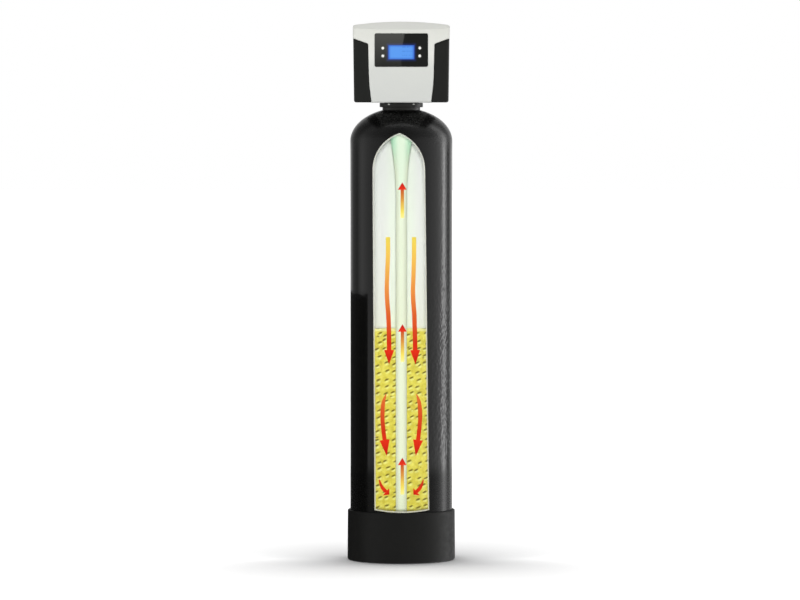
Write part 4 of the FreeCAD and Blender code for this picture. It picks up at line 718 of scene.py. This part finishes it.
arrow("up_arrow_top", [(3.0, 1040, 11), (3.0, 1125, 10)], (3.0, 1147.5), 13.2, rising_paint)
arrow("up_arrow_middle", [(3.4, 608, 11), (3.4, 699, 10)], (3.4, 721.5), 13.2, rising_paint)
arrow("up_arrow_bottom", [(3.0, 209, 11), (3.0, 297.5, 10)], (3.0, 320), 13.2, rising_paint)
for name, way in (("left", -1), ("right", 1)):
    if way < 0:
        path = [(-40.2, 983, 13), (-40.0, 932, 13), (-42.6, 864, 13), (-43.5, 821, 13),
                (-41.7, 783, 13.5), (-39.2, 752, 13.5), (-37.8, 719, 13.5), (-36.8, 680, 13.5),
                (-36.7, 644, 13.5)]
        tip = (-36.8, 600)
    else:
        path = [(38.2, 983, 13), (38.2, 932, 13), (36.4, 864, 13), (35.0, 821, 13),
                (36.6, 783, 13.5), (39.0, 752, 13.5), (40.0, 719, 13.5), (41.1, 680, 13.5),
                (41.6, 644, 13.5)]
        tip = (42.3, 600)
    arrow("down_arrow_" + name, path, tip, 15.0, sinking_paint)
    turn = [(45.5, 511, 2.5), (50.0, 499, 7.5), (54.0, 485, 11), (56.3, 461, 12.5),
            (56.5, 434, 12.5), (54.0, 404, 12.5), (50.3, 373, 12.5)]
    arrow("turn_arrow_" + name, [(way * x, z, w) for x, z, w in turn], (way * 43.4, 324), 15.2,
          sinking_paint, 0.5)
    foot = [(66.5, 253, 3.5), (61.2, 237, 8), (54.5, 226, 11), (46.0, 217, 11)]
    arrow("foot_arrow_" + name, [(way * x, z, w) for x, z, w in foot], (way * 36.0, 208.5), 15.0,
          sinking_paint, 0.72)


# Small trim

def ring(name, centre, radius, width, front, material, body):
    """Flat ring in the plane of X and Z; front gives its place in Y for an X."""
    count = 40
    points = []
    for index in range(count):
        angle = 2 * math.pi * index / count
        for r in (radius - width / 2, radius + width / 2):
            x = centre.x + r * math.cos(angle)
            points.append((x, front(x), centre.z + r * math.sin(angle)))
    faces = []
    for index in range(count):
        a, b = 2 * index, 2 * ((index + 1) % count)
        faces.append((a, b, b + 1, a + 1))
    mesh_object(name, points, faces, material, body, smooth=False)


def box_object(name, low, high, material, body, bevel):
    """Box between two corners, with its edges rounded."""
    corners = [(x, y, z) for x in (low[0], high[0]) for y in (low[1], high[1]) for z in (low[2], high[2])]
    faces = [(0, 1, 3, 2), (4, 6, 7, 5), (0, 4, 5, 1), (2, 3, 7, 6), (0, 2, 6, 4), (1, 5, 7, 3)]
    obj = mesh_object(name, corners, faces, material, body, smooth=False)
    modifier = obj.modifiers.new("round", "BEVEL")
    modifier.width = bevel
    modifier.segments = 3


ring_paint = moulded("ring_print", linear(88, 90, 82), 0.3)
BUTTON_PROUD = 0.0009
PRINT_LIFT = 0.00006
RING_RADIUS = 0.0066
RING_WIDTH = 0.0005
panel_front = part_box("display_panel")[0].y
button_low, button_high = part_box("upper_right_button")
button_x = (button_low.x + button_high.x) / 2
panel_bow = (button_low.y + BUTTON_PROUD - panel_front) / button_x ** 2


def panel_face(x):
    """Place in Y of a print on the bowed front of the panel."""
    return panel_front + panel_bow * x ** 2 - PRINT_LIFT


for side in ("left", "right"):
    for level in ("upper", "lower"):
        low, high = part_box(level + "_" + side + "_button")
        ring(level + "_" + side + "_button_ring", (low + high) / 2, RING_RADIUS, RING_WIDTH, panel_face,
             ring_paint, "cover")

CLIP_ASIDE = 0.037
CLIP_HALF_WIDTH = 0.0032
CLIP_FRONT, CLIP_REAR = -0.0555, -0.0515
CLIP_FOOT, CLIP_TOP = 1.3792, 1.3832
CLIP_ROUND = 0.0006
clip_grey = moulded("clip_grey", linear(170, 172, 166), 0.4)
for name, way in (("left", -1), ("right", 1)):
    x = way * CLIP_ASIDE
    box_object(name + "_flange_clip", (x - CLIP_HALF_WIDTH, CLIP_FRONT, CLIP_FOOT),
               (x + CLIP_HALF_WIDTH, CLIP_REAR, CLIP_TOP), clip_grey, "root", CLIP_ROUND)


# Floor, light and camera

def stage_material(name, build):
    """Material of a stage piece, from the function that makes its shader."""
    recipe = Recipe(name)
    return recipe.done(build(recipe))


FLOOR_REACH = 60.0
FLOOR_GLOW = 0.72
SHADOW_REACH = 0.34
SHADOW_DEPTH = 3.6
SHADOW_DEPTH_AHEAD = 2.2


def floor_shader(recipe):
    """White floor that keeps the object's soft shadow and has no visible horizon.

    The shadow reaches further and is deeper in front of the object and behind it than at its sides.
    """
    plain = recipe.add("ShaderNodeBsdfDiffuse")
    tint = recipe.mix(recipe.noise(0.6), (0.79, 0.79, 0.79, 1.0), (0.81, 0.81, 0.81, 1.0))
    recipe.link(tint, plain.inputs["Color"])
    paths = recipe.add("ShaderNodeLightPath")
    seen = recipe.math("MAXIMUM", paths.outputs["Is Camera Ray"],
                       recipe.math("MAXIMUM", paths.outputs["Is Glossy Ray"],
                                   paths.outputs["Is Transmission Ray"]))
    hidden = recipe.add("ShaderNodeAmbientOcclusion", samples=12)
    reach = recipe.add("ShaderNodeVectorMath", operation="LENGTH")
    recipe.link(recipe.place, reach.inputs[0])
    lengthwise = recipe.math("DIVIDE", recipe.math("ABSOLUTE", recipe.axis("Y")), reach.outputs["Value"])
    recipe.link(recipe.math("ADD", lengthwise, SHADOW_REACH), hidden.inputs["Distance"])
    depth = recipe.math("ADD", recipe.math("MULTIPLY", lengthwise, SHADOW_DEPTH_AHEAD), SHADOW_DEPTH)
    open_share = recipe.math("POWER", hidden.outputs["AO"], depth)
    lift = recipe.add("ShaderNodeEmission")
    lift.inputs["Color"].default_value = (1.0, 1.0, 1.0, 1.0)
    glow = recipe.math("MULTIPLY", open_share, FLOOR_GLOW)
    recipe.link(recipe.math("MULTIPLY", seen, glow), lift.inputs["Strength"])
    both = recipe.add("ShaderNodeAddShader")
    recipe.link(plain.outputs["BSDF"], both.inputs[0])
    recipe.link(lift.outputs["Emission"], both.inputs[1])
    return both.outputs["Shader"]


floor_mesh = bpy.data.meshes.new("floor")
floor_mesh.from_pydata([(-FLOOR_REACH, -FLOOR_REACH, 0), (FLOOR_REACH, -FLOOR_REACH, 0),
                        (FLOOR_REACH, FLOOR_REACH, 0), (-FLOOR_REACH, FLOOR_REACH, 0)], [], [(0, 1, 2, 3)])
floor_mesh.materials.append(stage_material("floor_white", floor_shader))
floor = bpy.data.objects.new("floor", floor_mesh)
bpy.context.scene.collection.objects.link(floor)
floor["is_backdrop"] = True
floor.visible_glossy = False

world = bpy.data.worlds.new("studio")
bpy.context.scene.world = world
world.use_nodes = True
tree = world.node_tree
tree.nodes.clear()
background = tree.nodes.new("ShaderNodeBackground")
background.inputs["Color"].default_value = (1.0, 1.0, 1.0, 1.0)
path_node = tree.nodes.new("ShaderNodeLightPath")


def world_math(operation, *values):
    """Math node of the world's tree; each value is a number or an output."""
    node = tree.nodes.new("ShaderNodeMath")
    node.operation = operation
    for socket, value in zip(node.inputs, values):
        if hasattr(value, "is_output"):
            tree.links.new(value, socket)
        else:
            socket.default_value = value
    return node.outputs["Value"]


AMBIENT = 0.28
BRIGHTEST = 5.0
# What reflections see of the studio: a level for each angle from the front, in degrees to the right
STUDIO_LEVELS = [
    (-180, 1.0), (-155, 0.5), (-140, 0.2), (-118, 0.18), (-100, 0.72), (-70, 0.5), (0, 0.22), (60, 0.65),
    (90, 1.0), (105, 1.5), (113, BRIGHTEST), (120, 1.6), (131, 0.15), (150, 0.7), (180, 1.0),
]
STEEP_FROM = 0.12
STEEP_TO = 0.5
STEEP_SHARE = 0.55
direct = world_math("MAXIMUM", path_node.outputs["Is Camera Ray"],
                    path_node.outputs["Is Transmission Ray"])
toward = tree.nodes.new("ShaderNodeTexCoord").outputs["Generated"]
parts = tree.nodes.new("ShaderNodeSeparateXYZ")
tree.links.new(toward, parts.inputs["Vector"])
azimuth = world_math("ARCTAN2", parts.outputs["X"], world_math("MULTIPLY", parts.outputs["Y"], -1.0))
around = world_math("MULTIPLY_ADD", azimuth, 1 / (2 * math.pi), 0.5)
profile = tree.nodes.new("ShaderNodeValToRGB")
elements = profile.color_ramp.elements
while len(elements) < len(STUDIO_LEVELS):
    elements.new(0.5)
for element, (angle, level) in zip(elements, STUDIO_LEVELS):
    element.position = (angle + 180) / 360
    element.color = (level / BRIGHTEST,) * 3 + (1.0,)
tree.links.new(around, profile.inputs["Fac"])
steep = tree.nodes.new("ShaderNodeMapRange")
steep.interpolation_type = "SMOOTHSTEP"
tree.links.new(parts.outputs["Z"], steep.inputs["Value"])
for socket, level in (("From Min", STEEP_FROM), ("From Max", STEEP_TO), ("To Min", BRIGHTEST),
                      ("To Max", STEEP_SHARE * BRIGHTEST)):
    steep.inputs[socket].default_value = level
mirrored = world_math("MULTIPLY", profile.outputs["Color"], steep.outputs["Result"])
glossy = world_math("MULTIPLY", path_node.outputs["Is Glossy Ray"], mirrored)
plain = world_math("SUBTRACT", 1.0, world_math("MAXIMUM", direct, path_node.outputs["Is Glossy Ray"]))
strength = world_math("MULTIPLY_ADD", plain, AMBIENT, world_math("ADD", direct, glossy))
tree.links.new(strength, background.inputs["Strength"])
out = tree.nodes.new("ShaderNodeOutputWorld")
tree.links.new(background.outputs["Background"], out.inputs["Surface"])


def lamp(name, kind, place, target, energy, **settings):
    """Lamp at a place, turned to a target."""
    data = bpy.data.lights.new(name, kind)
    data.energy = energy
    for key, value in settings.items():
        setattr(data, key, value)
    obj = bpy.data.objects.new(name, data)
    obj.location = place
    obj.rotation_euler = (Vector(target) - Vector(place)).to_track_quat("-Z", "Y").to_euler()
    bpy.context.scene.collection.objects.link(obj)
    return obj


for name, place, strength, spread in (
        ("front_sun", (0.0, -4.0, 0.86), 2.35, 4), ("left_sun", (-3.0, 2.2, 2.6), 1.1, 60),
        ("right_sun", (3.0, 2.2, 2.6), 1.1, 60)):
    sun = lamp(name, "SUN", place, (0, 0, 0.7), strength, angle=math.radians(spread))
    sun.visible_glossy = False
overhead = lamp("overhead", "AREA", (0.0, 0.0, 3.2), (0, -0.1, 1.35), 9.0, shape="RECTANGLE",
                size=1.6, size_y=0.7)
overhead.visible_camera = False
overhead.visible_diffuse = False


def card(name, corners, material):
    """Plane seen only in reflections."""
    mesh = bpy.data.meshes.new(name)
    mesh.from_pydata(corners, [], [tuple(range(len(corners)))])
    mesh.materials.append(material)
    obj = bpy.data.objects.new(name, mesh)
    bpy.context.scene.collection.objects.link(obj)
    obj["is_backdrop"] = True
    for ray in ("camera", "diffuse", "transmission", "volume_scatter", "shadow"):
        setattr(obj, "visible_" + ray, False)


def unlit(recipe):
    """Dark card: a very faint, even glow."""
    dark = recipe.add("ShaderNodeEmission")
    recipe.link(recipe.mix(recipe.noise(1.0), (0.03, 0.03, 0.03, 1.0), (0.05, 0.05, 0.05, 1.0)),
                dark.inputs["Color"])
    return dark.outputs["Emission"]


PALE_CARD_FADE = (1.52, 1.66)


def pale_card(recipe):
    """White card that dims towards its foot."""
    light = recipe.add("ShaderNodeEmission")
    light.inputs["Color"].default_value = (1.0, 1.0, 0.94, 1.0)
    glow = recipe.range(recipe.axis("Z"), *PALE_CARD_FADE, 0.4, 1.7, False)
    recipe.link(glow, light.inputs["Strength"])
    return light.outputs["Emission"]


DARK_CARD_X = -0.3
DARK_CARD_FRONT, DARK_CARD_REAR = -0.145, 0.6
DARK_CARD_FOOT, DARK_CARD_TOP = -0.2, 0.802
card("dark_card", [(DARK_CARD_X, DARK_CARD_FRONT, DARK_CARD_FOOT),
                   (DARK_CARD_X, DARK_CARD_REAR, DARK_CARD_FOOT),
                   (DARK_CARD_X, DARK_CARD_REAR, DARK_CARD_TOP),
                   (DARK_CARD_X, DARK_CARD_FRONT, DARK_CARD_TOP)], stage_material("dark_card", unlit))

PALE_CARD_Y = -6.14
PALE_CARD_FOOT, PALE_CARD_TOP = 1.46, 1.70
PALE_CARD_LEFT = -1.2
PALE_CARD_RIGHT_AT_FOOT, PALE_CARD_RIGHT_AT_TOP = -0.051, 0.122
card("pale_card", [(PALE_CARD_LEFT, PALE_CARD_Y, PALE_CARD_FOOT),
                   (PALE_CARD_RIGHT_AT_FOOT, PALE_CARD_Y, PALE_CARD_FOOT),
                   (PALE_CARD_RIGHT_AT_TOP, PALE_CARD_Y, PALE_CARD_TOP),
                   (PALE_CARD_LEFT, PALE_CARD_Y, PALE_CARD_TOP)], stage_material("pale_card", pale_card))

CAMERA_LENS = 222.8
CAMERA_PLACE = Vector((-0.0039, -15.0, 1.40))
CAMERA_AIM = Vector((-0.0039, 0.0, 0.788))
camera_data = bpy.data.cameras.new("camera")
camera_data.lens = CAMERA_LENS
camera_data.sensor_width = 36.0
camera_data.clip_end = 200.0
camera = bpy.data.objects.new("camera", camera_data)
camera.location = CAMERA_PLACE
camera.rotation_euler = (CAMERA_AIM - CAMERA_PLACE).to_track_quat("-Z", "Y").to_euler()
bpy.context.scene.collection.objects.link(camera)
bpy.context.scene.camera = camera

bpy.context.scene.view_settings.view_transform = "Standard"

low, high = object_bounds()
